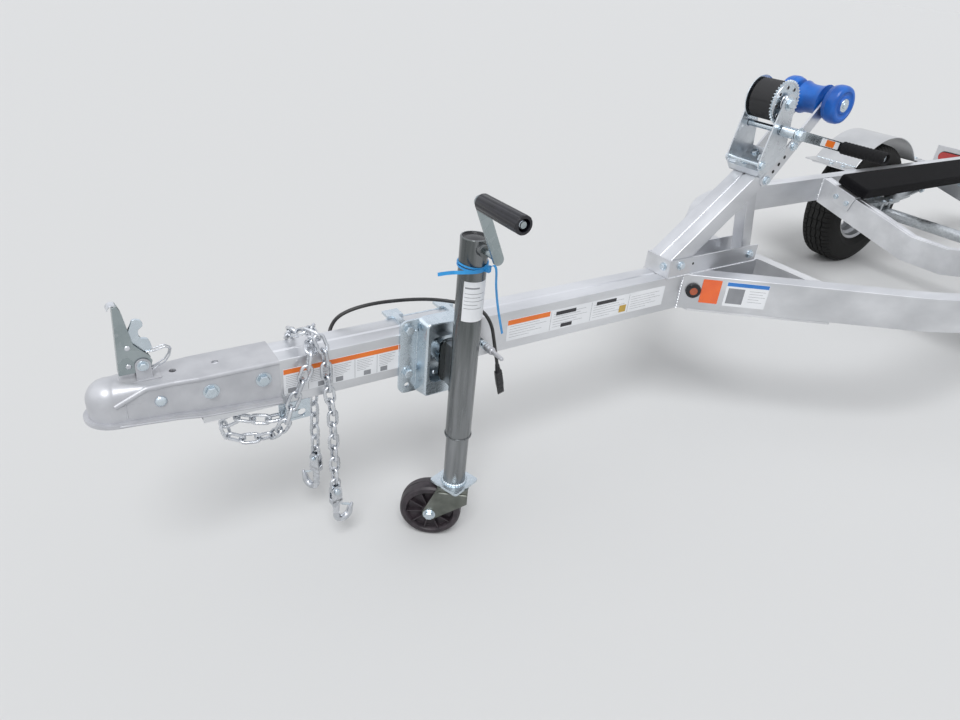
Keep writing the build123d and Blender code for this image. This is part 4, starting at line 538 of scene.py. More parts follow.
def rounded(width, height, radius, count=6, cy=0.0):
    """Outline of a rectangle with round corners."""
    x, y = width / 2 - radius, height / 2 - radius
    corners = ((x, cy - y), (x, cy + y), (-x, cy + y), (-x, cy - y))
    return [p for i, (a, b) in enumerate(corners) for p in arc(a, b, radius, 90 * i - 90, 90 * i, count)]


def slot_outline(x0, y0, x1, y1, radius, count=12):
    """Outline of a bar with round ends, from one centre to the other."""
    turn = degrees(atan2(y1 - y0, x1 - x0))
    far = arc(x1, y1, radius, turn - 90, turn + 90, count)
    return far + arc(x0, y0, radius, turn + 90, turn + 270, count)


def sweep(points, radius, sides=12, closed=False, round_ends=False):
    """Round tube along points; the radius is one number or one for each point."""
    path = [Vector(p) for p in points]
    radii = list(radius) if hasattr(radius, "__len__") else [radius] * len(path)
    if round_ends:
        first, last = (path[1] - path[0]).normalized(), (path[-1] - path[-2]).normalized()
        r0, r1 = radii[0], radii[-1]
        path = [path[0] - first * r0, path[0] - first * r0 * 0.7] + path + [
            path[-1] + last * r1 * 0.7, path[-1] + last * r1]
        radii = [r0 * 0.15, r0 * 0.75] + radii + [r1 * 0.75, r1 * 0.15]
    count = len(path)
    tangents = []
    for i in range(count):
        ahead = path[(i + 1) % count] if closed or i < count - 1 else path[i]
        behind = path[i - 1] if closed or i > 0 else path[i]
        tangents.append((ahead - behind).normalized())
    side = tangents[0].orthogonal().normalized()
    frames = []
    for tangent in tangents:
        side = (side - tangent * side.dot(tangent)).normalized()
        frames.append((side, tangent.cross(side)))
    twist = 0.0
    if closed:
        end = frames[-1][0] - tangents[0] * frames[-1][0].dot(tangents[0])
        twist = atan2(frames[0][1].dot(end), frames[0][0].dot(end))
    rings = []
    for i, (centre, (u, v), size) in enumerate(zip(path, frames, radii)):
        angles = [2 * pi * k / sides - twist * i / count for k in range(sides)]
        rings.append([centre + (u * cos(angle) + v * sin(angle)) * size for angle in angles])
    return loft(rings, closed)


def block(low, high):
    """Box between two corners."""
    (x0, y0, z0), (x1, y1, z1) = low, high
    return loft([[(x, y, z) for x, y in ((x0, y0), (x1, y0), (x1, y1), (x0, y1))] for z in (z0, z1)])


WASHER = 1.6
WASHER_SHARE = 0.78


def hex_head(across, height):
    """Hexagonal bolt head on a washer, with its chamfered crown."""
    radius, washer = across / sqrt(3), across * WASHER_SHARE
    crown = [(WASHER, 0), (WASHER, radius), (height * 0.85, radius), (height, radius * 0.84), (height, 0)]
    return Shape().add(lathe([(0, 0), (0, washer), (WASHER, washer), (WASHER, 0)], 28)).add(lathe(crown, 6))


def dome_head(radius, height):
    """Round rivet or carriage bolt head."""
    crown = [(height * sin(pi / 10 * i), radius * cos(pi / 10 * i)) for i in range(1, 5)]
    return lathe([(0, 0), (0, radius)] + crown + [(height, 0)], 20)


def heads(part, spots, facing, shape=None):
    """The same part at each spot (station, y, above), standing out along the facing direction."""
    shape = shape or Shape()
    for spot in spots:
        shape.add(part, basis(at(*spot), facing))
    return shape


def bumpy_bead(points, radius):
    """Weld bead from one point to another, its width rippling once for each 3.5 mm."""
    start, end = points
    steps = max(2, int((end - start).length / 3.5 * 4))
    sizes = [radius * (1 + 0.16 * sin(pi / 2 * i) + 0.08 * sin(0.9 * i)) for i in range(1, steps + 2)]
    return sweep([start.lerp(end, i / steps) for i in range(steps + 1)], sizes, 8)


def strip(points, width, thickness, across):
    """Flat bar of sheet along points, its width along one direction."""
    wide = Vector(across).normalized() * width / 2
    path = [Vector(p) for p in points]
    rings = []
    for i, point in enumerate(path):
        run = (path[min(i + 1, len(path) - 1)] - path[max(i - 1, 0)]).normalized()
        thick = run.cross(wide).normalized() * thickness / 2
        rings.append([point + wide + thick, point - wide + thick, point - wide - thick, point + wide - thick])
    return loft(rings)


def curved_patch(centre, radii, heights, start, span, steps):
    """Thin patch round a tube, between two radii and two heights, angles in degrees."""
    corners = ((radii[0], heights[0]), (radii[0], heights[1]), (radii[1], heights[1]), (radii[1], heights[0]))
    turns = [radians(start + span * i / steps) for i in range(steps + 1)]
    return loft([[centre + polar(radius, turn, z) for radius, z in corners] for turn in turns])


def smooth_points(points, steps=5):
    """Points of a soft curve through the given ones."""
    path = [Vector(p) for p in points]
    padded = [path[0]] + path + [path[-1]]
    out = []
    for a, b, c, d in zip(padded, padded[1:], padded[2:], padded[3:]):
        for t in (i / steps for i in range(steps)):
            out.append(0.5 * (2 * b + (c - a) * t + (2 * a - 5 * b + 4 * c - d) * t ** 2
                              + (3 * b - a - 3 * c + d) * t ** 3))
    return out + [path[-1]]


def add_bevel(item, width, segments=2, sharp=30.0):
    bevel = item.modifiers.new("edges", "BEVEL")
    bevel.width = width * MM
    bevel.segments = segments
    bevel.limit_method = "ANGLE"
    bevel.angle_limit = radians(sharp)
    bevel.harden_normals = True
    bevel.use_clamp_overlap = True


def piece(name, shape, body, paint, slot=None, sharp=30.0, bevel=0.0, segments=2, replaces=()):
    """Object from a shape, riding on a CAD body. Its paint also names its slot unless a slot is given."""
    mesh = bpy.data.meshes.new(name)
    mesh.from_pydata([tuple(v * MM) for v in shape.verts], [], shape.faces)
    mesh.validate()
    worker = bmesh.new()
    worker.from_mesh(mesh)
    bmesh.ops.recalc_face_normals(worker, faces=worker.faces)
    worker.to_mesh(mesh)
    worker.free()
    mesh.materials.append(PAINTS[paint])
    mesh.polygons.foreach_set("use_smooth", [True] * len(mesh.polygons))
    mesh.set_sharp_from_angle(angle=radians(sharp))
    item = link(name, mesh)
    if bevel:
        add_bevel(item, bevel, segments, sharp)
    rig.ride(item, body)
    slot = slot or paint
    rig.slot(item, slot)
    if replaces:
        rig.replaces(item, *replaces)
    return item


def dress(name, paint, bevel, sharp=30.0):
    """Gives a CAD node its finish and breaks its edges with modifiers, its own vertices untouched."""
    item = frame["nodes"][name]
    mesh = item.data
    mesh.materials.clear()
    mesh.materials.append(PAINTS[paint])
    if mesh.has_custom_normals:
        mesh.attributes.remove(mesh.attributes["custom_normal"])
    mesh.polygons.foreach_set("use_smooth", [True] * len(mesh.polygons))
    item.modifiers.new("weld", "WELD").merge_threshold = 1e-5
    if bevel:
        add_bevel(item, bevel, 2, sharp)
    else:
        item.modifiers.new("split", "EDGE_SPLIT").split_angle = radians(sharp)


# Measures that the details share with the solids under them
TONGUE_HALF = 38.1
TONGUE_DEPTH = 101.6
RAIL_WIDTH = 50.8
FRAME_HALF = 560.0
MOUTH = 1475.0
AXLE = 3577.0
CROSSMEMBERS = (2990.0, AXLE + 420.0, 4950.0)
BUNK_Y = 390.0
BUNK_DIP = 119.0
BUNK_SLOPE = atan(BUNK_DIP / (FRAME_HALF - RAIL_WIDTH - 70.0))
BUNK_FOOT = -BUNK_DIP + (BUNK_Y - 70.0) * tan(BUNK_SLOPE)
UP = (0, 0, 1)
NEAR_SIDE = (0, -1, 0)
AFT = (1, 0, 0)
SIDES = ((-1, "left"), (1, "right"))

# Coupler and its latch
COUPLER_SIDE = 42.4
COUPLER_NECK = 38.0
COUPLER_BOLT_ABOVE = -31.0
LATCH_PIVOT = (107, 33)


def make_coupler():
    trim = Shape()
    for side, _ in SIDES:
        facing = (0, side, 0)
        spots = [(station, side * COUPLER_SIDE, COUPLER_BOLT_ABOVE) for station in (209, 306)]
        heads(hex_head(19.5, 8.5), spots, facing, trim)
        heads(dome_head(11.0, 6.5), [(123, side * COUPLER_NECK, COUPLER_BOLT_ABOVE)], facing, trim)
        heads(hex_head(13.0, 6.5), [(LATCH_PIVOT[0], side * 13, LATCH_PIVOT[1])], facing, trim)
    piece("coupler_bolts", trim, "frame", "zinc", bevel=0.4)
    crown = [(-37.6 * cos(radians(t)), -25 + 33.8 * sin(radians(t))) for t in range(0, 181, 12)]
    seam = Shape().add(sweep([at(66, y, z) for y, z in [(-38.2, -52), *crown, (38.2, -52)]], 1.3, 8))
    for side, _ in SIDES:
        lip = ((52, 45.6, -61), (148, 45.6, -72), (190, 50, -77), (336, 50, -88))
        seam.add(sweep([at(s, side * y, a) for s, y, a in lip], 2.4, 8, round_ends=True))
    seam.add(strip([at(s, 0, 5.2) for s in (78, 134)], 34, 2.4, (0, 1, 0)))
    piece("coupler_seam", seam, "frame", "grey_paint", bevel=0.5)


def make_latch():
    """The latch's trigger, its wire loop, its rivets and the bent tab at its top."""
    centre = at(LATCH_PIVOT[0], 0, LATCH_PIVOT[1])
    trigger = (
        (-24.6, 40), (-20, 33), (-13, 27.5), (2, 23), (15, 19.5), (19, 23), (20.6, 29), (19, 38),
        (16.4, 45.6), (11, 48), (6, 48.6), (3, 52), (2.6, 60), (4, 65), (11.6, 70.5), (12, 77),
        (9, 83.6), (2, 86), (-4.6, 84.6), (-9, 75), (-13.6, 66),
    )
    shape = Shape().add(plate(trigger, [], -2.8, 2.8), basis(centre, NEAR_SIDE, AFT))
    piece("latch_trigger", shape, "coupler_latch", "zinc", "grey_paint", bevel=1.6, segments=3)
    loop = ((10, 21), (23, 21), (41, 25), (50, 19), (46, 6), (38, -4), (18, -14), (6, -17))
    half_gap, rivet_y = 4.6, 9
    wire = Shape()
    for side in (-half_gap, half_gap):
        wire.add(sweep([centre + Vector((x, side, z)) for x, z in loop], 1.5, 8, round_ends=True))
    wire.add(sweep([centre + Vector((50, y, 19)) for y in (-half_gap, half_gap)], 1.5, 8))
    for x, z in ((-19, 37), (-22, 1)):
        for side, _ in SIDES:
            wire.add(dome_head(5.2, 2.6), basis(centre + Vector((x, side * rivet_y, z)), (0, side, 0)))
    wire.add(strip([centre + Vector((x, 0, z)) for x, z in arc(-30, 110, 9, 60, 170, 7)], 18, 2.2, (0, 1, 0)))
    piece("latch_wire", wire, "coupler_latch", "chain", "zinc", bevel=0.3)


# Safety chains, whose links hang in each other along a route
LINK_PITCH = 31.6
LINK_WIRE = 7.0
LINK_SIDE = 9.75
LINK_SLACK = 0.95
NEAR = -TONGUE_HALF - 17.0
FAR = TONGUE_HALF + 17.0
LEG_Y = 35.1
HOLE_ABOVE = -131.6
ROUTES = {
    "one": (
        (342.1, -LEG_Y, HOLE_ABOVE), (313, -LEG_Y + 2, HOLE_ABOVE - 1), (287, -20, HOLE_ABOVE - 1),
        (256, -6, HOLE_ABOVE + 5), (232, 2, HOLE_ABOVE + 2), (228, 2, HOLE_ABOVE - 29),
        (252, 0, HOLE_ABOVE - 52), (288, -6, HOLE_ABOVE - 58), (316, -24, HOLE_ABOVE - 46),
        (334, NEAR - 1, HOLE_ABOVE - 18),
        (348, NEAR - 2, -106), (362, NEAR, -80), (378, NEAR, -45), (392, NEAR - 2, -12), (397, NEAR + 2, 14),
        (403, NEAR + 16, 20), (416, -2, 16), (428, 22, 16), (436, FAR - 13, 19), (442, FAR, 0),
        (443, FAR + 1, -100), (439, FAR, -164), (438, FAR - 2, -362),
    ),
    "two": (
        (387.9, LEG_Y, HOLE_ABOVE), (416, LEG_Y + 3, HOLE_ABOVE + 2), (414, FAR - 5, -98),
        (406, FAR + 2, -68), (398, FAR + 2, -36), (391, FAR + 1, -4), (388, FAR - 8, 18),
        (386, 18, 22), (391, -8, 38), (405, -30, 47), (421, NEAR + 2, 36), (425, NEAR - 2, -4),
        (428, NEAR - 1, -60), (438, NEAR + 1, -130), (440, NEAR + 2, -215), (442, NEAR + 2, -376),
    ),
}


def chain_joints(route):
    """Points along the route where one link hangs in the next, a link's pitch apart in a straight line."""
    corners = [at(*point) for point in route]
    joints = [corners[0]]
    leg, place = 0, corners[0]
    step = LINK_PITCH - LINK_SLACK
    while leg < len(corners) - 1:
        end = corners[leg + 1]
        if (end - joints[-1]).length < step:
            leg += 1
            place = end
            continue
        run = (end - place).normalized()
        back = place - joints[-1]
        middle = back.dot(run)
        place = place + run * (-middle + sqrt(middle ** 2 - back.dot(back) + step ** 2))
        joints.append(place)
    return joints


def link_frames(joints):
    """Middle, run and normal of each link, turned a quarter against the one before."""
    frames = []
    normal = Vector(UP)
    for start, end in zip(joints, joints[1:]):
        run = (end - start).normalized()
        normal = (normal - run * normal.dot(run)).normalized()
        frames.append(((start + end) / 2, run, normal.copy()))
        normal = run.cross(normal)
    return frames


HOOK_PIN_BACK = 3.8
EAR_RADIUS = 12
EAR_INNER = 4.2
EAR_OUTER = 8.2


def hook_shape():
    """Clevis slip hook in its own plane: ears at the pin, thick shank, bend and tip."""
    hook = Shape()
    for low, high in ((EAR_INNER, EAR_OUTER), (-EAR_OUTER, -EAR_INNER)):
        hook.add(plate(arc(0, 0, EAR_RADIUS, 0, 180, 13) + [(-12.5, -30), (12.5, -30)], [], low, high))
    hook.add(plate(rounded(25, 15, 3, cy=-31), [], -EAR_OUTER, EAR_OUTER))
    path = [(0, -30), (0, -44), (0, -58)] + arc(-17, -73, 17, 0, -180, 17) + [(-36, -67), (-39.5, -60)]
    sizes = [9.5, 8.4, 7.4] + [7.4 + 1.4 * sin(pi * i / 16) for i in range(17)] + [6.2, 4.2]
    return hook.add(sweep([(x, y, 0) for x, y in path], sizes, 14, round_ends=True))


def hook_trim():
    """Pin with its head and washer, and the sprung keeper across the hook's throat."""
    trim = Shape()
    trim.add(lathe([(-12.5, 0), (-12.5, 6.2), (-11, 6.8), (-EAR_OUTER, 6.8), (-EAR_OUTER, 3.6), (12.5, 3.6),
                    (13.4, 2.6), (13.4, 0)], 20))
    trim.add(closed_lathe([(9, 3.7), (9, 5.4), (10.4, 5.4), (10.4, 3.7)], 20))
    return trim.add(strip([(-6, -38, 0), (-10, -44, 0), (-20, -51, 0), (-34, -58, 0)], 9, 1.3, UP))


def make_chain(name):
    joints = chain_joints(ROUTES[name])
    frames = link_frames(joints)
    straight = (LINK_PITCH + LINK_WIRE) / 2 - LINK_SIDE
    outline = arc(straight, 0, LINK_SIDE, -90, 90, 9) + arc(-straight, 0, LINK_SIDE, 90, 270, 9)
    ring = sweep([(x, y, 0) for x, y in outline], LINK_WIRE / 2, 10, closed=True)
    chain = Shape()
    for middle, run, normal in frames:
        chain.add(ring, basis(middle, normal, run))
        weld = middle + normal.cross(run) * LINK_SIDE
        chain.add(sweep([weld - run * 2, weld, weld + run * 2], (3.6, 4.1, 3.6), 10))
    piece(f"chain_links_{name}", chain, "frame", "chain", "galvanised", sharp=60,
          replaces=(f"safety_chain_{name}",))
    run, normal = frames[-1][1:]
    place = basis(joints[-1] - run * HOOK_PIN_BACK, normal, normal.cross(run))
    piece(f"hook_body_{name}", Shape().add(hook_shape(), place), "frame", "chain", "galvanised", bevel=1.2,
          replaces=(f"chain_hook_{name}",))
    piece(f"hook_pin_{name}", Shape().add(hook_trim(), place), "frame", "zinc", "galvanised", bevel=0.3)


# Jack: mount trim, tube trim, cap, crank grip, cable tie
JACK = 699.0
JACK_Y = -140.0
TUBE_TOP = 243.0
TUBE_LENGTH = 465.0
SWING_ABOVE = -57.0
PLATE_FACE = -44.1
HOUSING_FACE = -78.1
CRANK_PLANE = -224.6
CRANK_HAND = (648.0, 341.0)


def make_mount_trim():
    bolts = heads(hex_head(19, 10), [(s, PLATE_FACE, a) for s in (617, 767) for a in (12, -94)], NEAR_SIDE)
    far = [(s, -PLATE_FACE, a) for s in (617, 767) for a in (-20, -94)]
    heads(hex_head(19, 11), far, (0, 1, 0), bolts)
    heads(lathe([(0, 0), (0, 5), (14, 5), (15, 4), (15, 0)], 14), far, (0, 1, 0), bolts)
    heads(dome_head(5.5, 4), [(JACK + x, -68, SWING_ABOVE - 36) for x in (-30, 30)], NEAR_SIDE, bolts)
    piece("mount_bolts", bolts, "frame", "zinc", bevel=0.4)
    inside = plate(rounded(106, 128, 12), [circle(0, 0, 24)], 0, 1.2)
    place = basis(at(JACK, PLATE_FACE - 1.5, SWING_ABOVE), NEAR_SIDE, AFT)
    piece("mount_back_plate", Shape().add(inside, place), "frame", "zinc")
    ring = closed_lathe([(0, 17), (0, 25), (2.4, 25), (3.4, 24), (3.4, 17)], 40)
    hub = Shape().add(ring, basis(at(JACK, HOUSING_FACE, SWING_ABOVE), NEAR_SIDE))
    tab = arc(0, 0, 45, 58, 122, 9) + arc(0, 0, 33, 122, 58, 9)
    place = basis(at(JACK, HOUSING_FACE + 6, SWING_ABOVE), NEAR_SIDE, AFT)
    hub.add(plate(tab, [circle(19, 34, 3.6, 14)], 0, 3), place)
    piece("mount_hub", hub, "frame", "zinc", bevel=0.4)
    seams = Shape()
    for x in (JACK - 61, JACK + 61):
        seams.add(bumpy_bead([at(x, PLATE_FACE, SWING_ABOVE + z) for z in (-70, 70)], 2.0))
    for s in (627, 757):
        seams.add(bumpy_bead([at(s + x, PLATE_FACE, 6) for x in (-7, 7)], 2.2))
    piece("mount_welds", seams, "frame", "zinc", sharp=50)


def make_jack_trim():
    """Pull pin with its spring, the tube's rim, end cap and welds."""
    base = at(JACK + 62, -89.1, -19)
    pin = Shape().add(lathe([(0, 0), (0, 5.4), (60, 5.4), (62, 4), (62, 0)], 20), basis(base, NEAR_SIDE))
    turns = [i * pi / 6 for i in range(44)]
    pin.add(sweep([base + Vector((8.0 * cos(t), -23 - t * 1.5, 8.0 * sin(t))) for t in turns], 1.1, 6))
    piece("pull_pin", pin, "jack_leg", "zinc", bevel=0.2)
    handle = lathe([(38, 0), (38, 7.6), (40, 8.6), (62, 8.6), (64, 7.6), (66, 5.2), (98, 4.6), (101, 3),
                    (101, 0)], 24)
    piece("pull_pin_handle", Shape().add(handle, basis(base, NEAR_SIDE)), "jack_leg", "grey_paint")
    top = at(JACK, JACK_Y, TUBE_TOP)
    rim = closed_lathe([(-6, 28.7), (-0.6, 28.9), (0.8, 28.0), (0.8, 25.6), (-6, 25.6)], 56)
    piece("tube_rim", Shape().add(rim, basis(top, UP)), "jack_leg", "tube_zinc", "galvanised")
    cap = lathe([(-4, 0), (-4, 25.2), (-1, 25.2), (-1, 23.6), (-2.4, 22.2), (-2.0, 18), (-0.6, 9),
                 (0, 0)], 56)
    piece("tube_cap", Shape().add(cap, basis(top, UP)), "jack_leg", "black_plastic", replaces=("jack_cap",))
    foot = basis(top - Vector((0, 0, TUBE_LENGTH)), UP)
    bead = Shape().add(closed_lathe([(0, 28.7), (0, 30.2), (3, 30.4), (3.4, 28.7)], 56), foot)
    for x in (JACK - 18.6, JACK + 18.6):
        bead.add(bumpy_bead([at(x, -119, SWING_ABOVE + z) for z in (-46, 46)], 2.2))
    piece("tube_welds", bead, "jack_leg", "tube_zinc", "galvanised", sharp=50)


# points from the knot, direction of the width
TIE_TAILS = (
    (((0, 0, 0), (-22, -7, -1), (-48, -6, 1), (-78, 2, 2), (-104, 8, 0)), (0, 0.3, 1)),
    (((2, -4, 0), (9, -10, 8), (15, -12, -2), (20, -11, -40), (32, -9, -90), (50, -8, -150)), (1, 0.5, 0)),
)


def make_cable_tie():
    level = at(JACK, JACK_Y, 186)
    turns = [i * pi / 24 for i in range(48)]
    ring = [level + polar(29.6, t, 3 * sin(t + 0.6)) for t in turns]
    second = [p + Vector((0, 0, 5.5 + 1.5 * sin(3 * i / 10))) for i, p in enumerate(ring)]
    front = level + Vector((14, -28, 0))
    tie = Shape().add(sweep(ring, 2.2, 8, closed=True)).add(sweep(second, 2.0, 8, closed=True))
    tie.add(plate(rounded(11, 14, 3), [], -5, 5), basis(front + Vector((1, -3, 0)), (0.4, -0.9, 0)))
    for tail, across in TIE_TAILS:
        tie.add(strip([front + p for p in smooth_points(tail)], 7.0, 1.3, across))
    piece("cable_tie", tie, "jack_leg", "tie", "blue_roller", bevel=0.2)


def ribbed_grip(length, radius, ribs, depth, bore):
    """Moulded grip about Z: ribs along it, a rounded inner end and a hollow outer end."""
    count = ribs * 6
    grooves = [(1, 0.35, 0, 0, 0, 0.35)[i % 6] * depth for i in range(count)]
    hollow = bore / radius
    rows = [(0, 0.0, 0), (0, 0.84, 0), (1.5, 0.95, 0), (4, 1.0, 1), (length - 4, 1.04, 1),
            (length - 1, 1.02, 0.4), (length, 0.97, 0), (length, hollow, 0), (length - 16, hollow, 0),
            (length - 16, 0.0, 0)]
    rings = []
    for height, share, rib in rows:
        radii = [max(radius * share - groove * rib, 0.02) for groove in grooves]
        rings.append([polar(r, 2 * pi * i / count, height) for i, r in enumerate(radii)])
    return loft(rings)


def ringed_grip(length, radius, pitch, depth, bore):
    """Foam grip about Z with soft waves along it and a hollow outer end."""
    steps = int(length / pitch * 6)
    waves = [
        (3 + (length - 6) * i / steps, radius - depth * (0.5 - 0.5 * cos(pi / 3 * i)))
        for i in range(steps + 1)
    ]
    inner = [(0, 0), (0, radius * 0.9), (1.5, radius * 0.98)]
    outer = [(length - 1, radius * 0.98), (length, radius * 0.92), (length, bore), (length - 22, bore),
             (length - 22, 0)]
    return lathe(inner + waves + outer, 56)


def make_grips():
    station, above = CRANK_HAND
    place = basis(at(station, CRANK_PLANE - 2, above), NEAR_SIDE)
    grip = Shape().add(ribbed_grip(124, 16.5, 12, 1.3, 11.5), place)
    piece("jack_grip", grip, "jack_crank", "grip_plastic", "foam", sharp=50, replaces=("jack_crank_grip",))
    rod = Shape().add(dome_head(8.6, 5), basis(at(station, CRANK_PLANE - 118, above), NEAR_SIDE))
    piece("jack_grip_rod", rod, "jack_crank", "zinc")
    place = basis(at(WINCH_HAND[0], -107.5, WINCH_HAND[1]), NEAR_SIDE)
    grip = Shape().add(ringed_grip(128, 17, 11, 0.9, 12.5), place)
    piece("winch_grip", grip, "winch_crank", "foam", sharp=40, replaces=("winch_crank_grip",))


# Caster: axle bolt, pressed edge, ribbed wheel, and the base plate over it
CASTER_WHEEL = Vector((-1890.93, -109.91, 73.0))
CASTER_AXIS = Vector((0.601815, 0.7986355, 0))
CASTER_AHEAD = Vector((-0.7986355, 0.601815, 0))
YOKE_FACE = 31.0
CASTER_RIBS = 10
# half of the wheel's section, with the hub's foot twice: distance from its middle, radius
CASTER_SECTION = (
    (24, 6.1), (24, 17.5), (22, 19), (12, 20), (12, 20), (11.5, 36), (11.5, 52), (19, 54), (23.4, 57),
    (24, 61), (22.4, 67), (18, 71.2), (12, 72.6), (3.2, 73), (2.2, 71.6),
)
BASE_PLATE_TURN = radians(18)
BASE_PLATE_ABOVE = -351.4


def make_caster():
    place = basis(CASTER_WHEEL, CASTER_AXIS, UP)
    wheel = Shape()
    wheel.add(closed_lathe([*CASTER_SECTION, *((-z, r) for z, r in reversed(CASTER_SECTION))], 72), place)
    trim, edge = Shape(), Shape()
    for side in (-1, 1):
        low, high = sorted((side * 10, side * 21))
        for i in range(CASTER_RIBS):
            turn = Matrix.Rotation(2 * pi * i / CASTER_RIBS + 0.2, 4, "Z")
            wheel.add(block((18.5, -1.6, low), (55, 1.6, high)), place @ turn)
        trim.add(hex_head(19, 10), basis(CASTER_WHEEL + CASTER_AXIS * side * YOKE_FACE, CASTER_AXIS * side))
        top = CASTER_WHEEL + CASTER_AXIS * side * (YOKE_FACE + 1) + Vector((0, 0, 68))
        edge.add(sweep([top + CASTER_AHEAD * x for x in (-82, -51, -20)], 3.2, 10, round_ends=True))
    piece("caster_wheel_ribbed", wheel, "caster_wheel", "caster_plastic", "black_plastic", bevel=0.5,
          replaces=("caster_wheel",))
    piece("caster_axle_bolt", trim, "caster", "zinc", bevel=0.4)
    piece("caster_pressed_edge", edge, "caster", "dark_paint")
    centre = at(JACK, JACK_Y, BASE_PLATE_ABOVE)
    steps = 120
    ring = [centre + polar(26.4, 2 * pi * i / steps) for i in range(steps)]
    sizes = [3.6 * (1 + 0.14 * sin(pi / 2 * i)) for i in range(steps)]
    piece("base_plate_weld", Shape().add(sweep(ring, sizes, 8, closed=True)), "jack_foot", "zinc", sharp=50)
    skin = plate(rounded(81, 81, 7), [circle(0, 0, 25.6, 48)], 0, 6.4)
    place = basis(centre - Vector((0, 0, 7.7)), UP, polar(1, BASE_PLATE_TURN))
    piece("base_plate_skin", Shape().add(skin, place), "jack_foot", "zinc", bevel=1.0, segments=3)


# Winch
DRUM = (1701.0, 446.0)
PINION = (1701.0, 378.8)
WINCH_DROOP = radians(11.0)
WINCH_RUN = Vector((cos(WINCH_DROOP), 0, -sin(WINCH_DROOP)))
WINCH_CRANK_LENGTH = 225.0
WINCH_HAND = (PINION[0] + WINCH_CRANK_LENGTH * WINCH_RUN.x, PINION[1] + WINCH_CRANK_LENGTH * WINCH_RUN.z)
WINCH_FACE = 50.0
WINCH_SHEET = 4.0
WINCH_BASE = 96.0
POST_LEAN = radians(37.85)
POST_RUN = Vector((cos(POST_LEAN), 0, sin(POST_LEAN)))
POST_OUT = Vector((-sin(POST_LEAN), 0, cos(POST_LEAN)))
POST_TOP = at(1739, 0, 50 + (1739 - 1407) * tan(POST_LEAN))
STRAP_CORE = 18.2
STRAP_RADIUS = 50.0
STRAP_RINGS = 16


def hull(points):
    """Convex outline round points."""
    points = sorted(set((round(x, 4), round(y, 4)) for x, y in points))
    outline = []
    for run in (points, points[::-1]):
        row = []
        for p in run:
            while len(row) > 1:
                (ax, ay), (bx, by) = row[-2:]
                if (bx - ax) * (p[1] - ay) - (by - ay) * (p[0] - ax) > 0:
                    break
                row.pop()
            row.append(p)
        outline += row[:-1]
    return outline


def make_winch_frame():
    top = POST_TOP + POST_RUN * 8
    foot = top - POST_RUN * WINCH_BASE
    shoulder = foot + POST_OUT * 44
    drum, pinion = at(DRUM[0], 0, DRUM[1]), at(PINION[0], 0, PINION[1])
    corners = [(foot.x, foot.z), (top.x, top.z), (shoulder.x, shoulder.z)]
    outline = hull(corners + circle(drum.x, drum.z, 24, 40) + circle(pinion.x - 6, pinion.z, 26, 32))
    holes = [circle(drum.x, drum.z, 10, 24), circle(pinion.x, pinion.z, 10, 24)]
    shape = Shape()
    for low in (WINCH_FACE, -WINCH_FACE - WINCH_SHEET):
        shape.add(plate(outline, holes, -low - WINCH_SHEET, -low), basis((0, 0, 0), NEAR_SIDE, AFT))
    cross = basis(foot, POST_OUT, POST_RUN)
    slots = [slot_outline(x, y, x + run, y, 4.5) for x, run in ((28, 16), (66, 14)) for y in (-24, 24)]
    for length, cuts, height in ((WINCH_BASE, slots, WINCH_SHEET), (WINCH_SHEET, [], 24)):
        base = [(0, -WINCH_FACE), (length, -WINCH_FACE), (length, WINCH_FACE), (0, WINCH_FACE)]
        shape.add(plate(base, cuts, 0, height), cross)
    piece("winch_side_plates", shape, "frame", "winch_zinc", "zinc", bevel=1.0, segments=3,
          replaces=("winch_frame",))
    trim = Shape()
    for x in (36, 73):
        for y in (-24, 24):
            trim.add(hex_head(16, 8), cross @ Matrix.Translation((x, y, WINCH_SHEET)))
    rod = foot + POST_RUN * 12 + POST_OUT * 36
    trim.add(sweep([rod + Vector((0, y, 0)) for y in (-WINCH_FACE - 8, WINCH_FACE + 8)], 5, 16))
    for side, _ in SIDES:
        for centre, size, height in ((rod, 17, 7), (drum, 22, 9), (pinion, 22, 9)):
            if side > 0 or centre is not pinion:
                spot = Vector((centre.x, side * (WINCH_FACE + WINCH_SHEET), centre.z))
                trim.add(hex_head(size, height), basis(spot, (0, side, 0)))
    pawl = ((-6, -6), (20, -4), (34, 6), (30, 12), (16, 8), (-4, 8))
    trim.add(plate(pawl, [], -3, 3), basis(rod + Vector((18, -30, 14)), NEAR_SIDE, AFT))
    piece("winch_bolts", trim, "frame", "zinc", bevel=0.4)


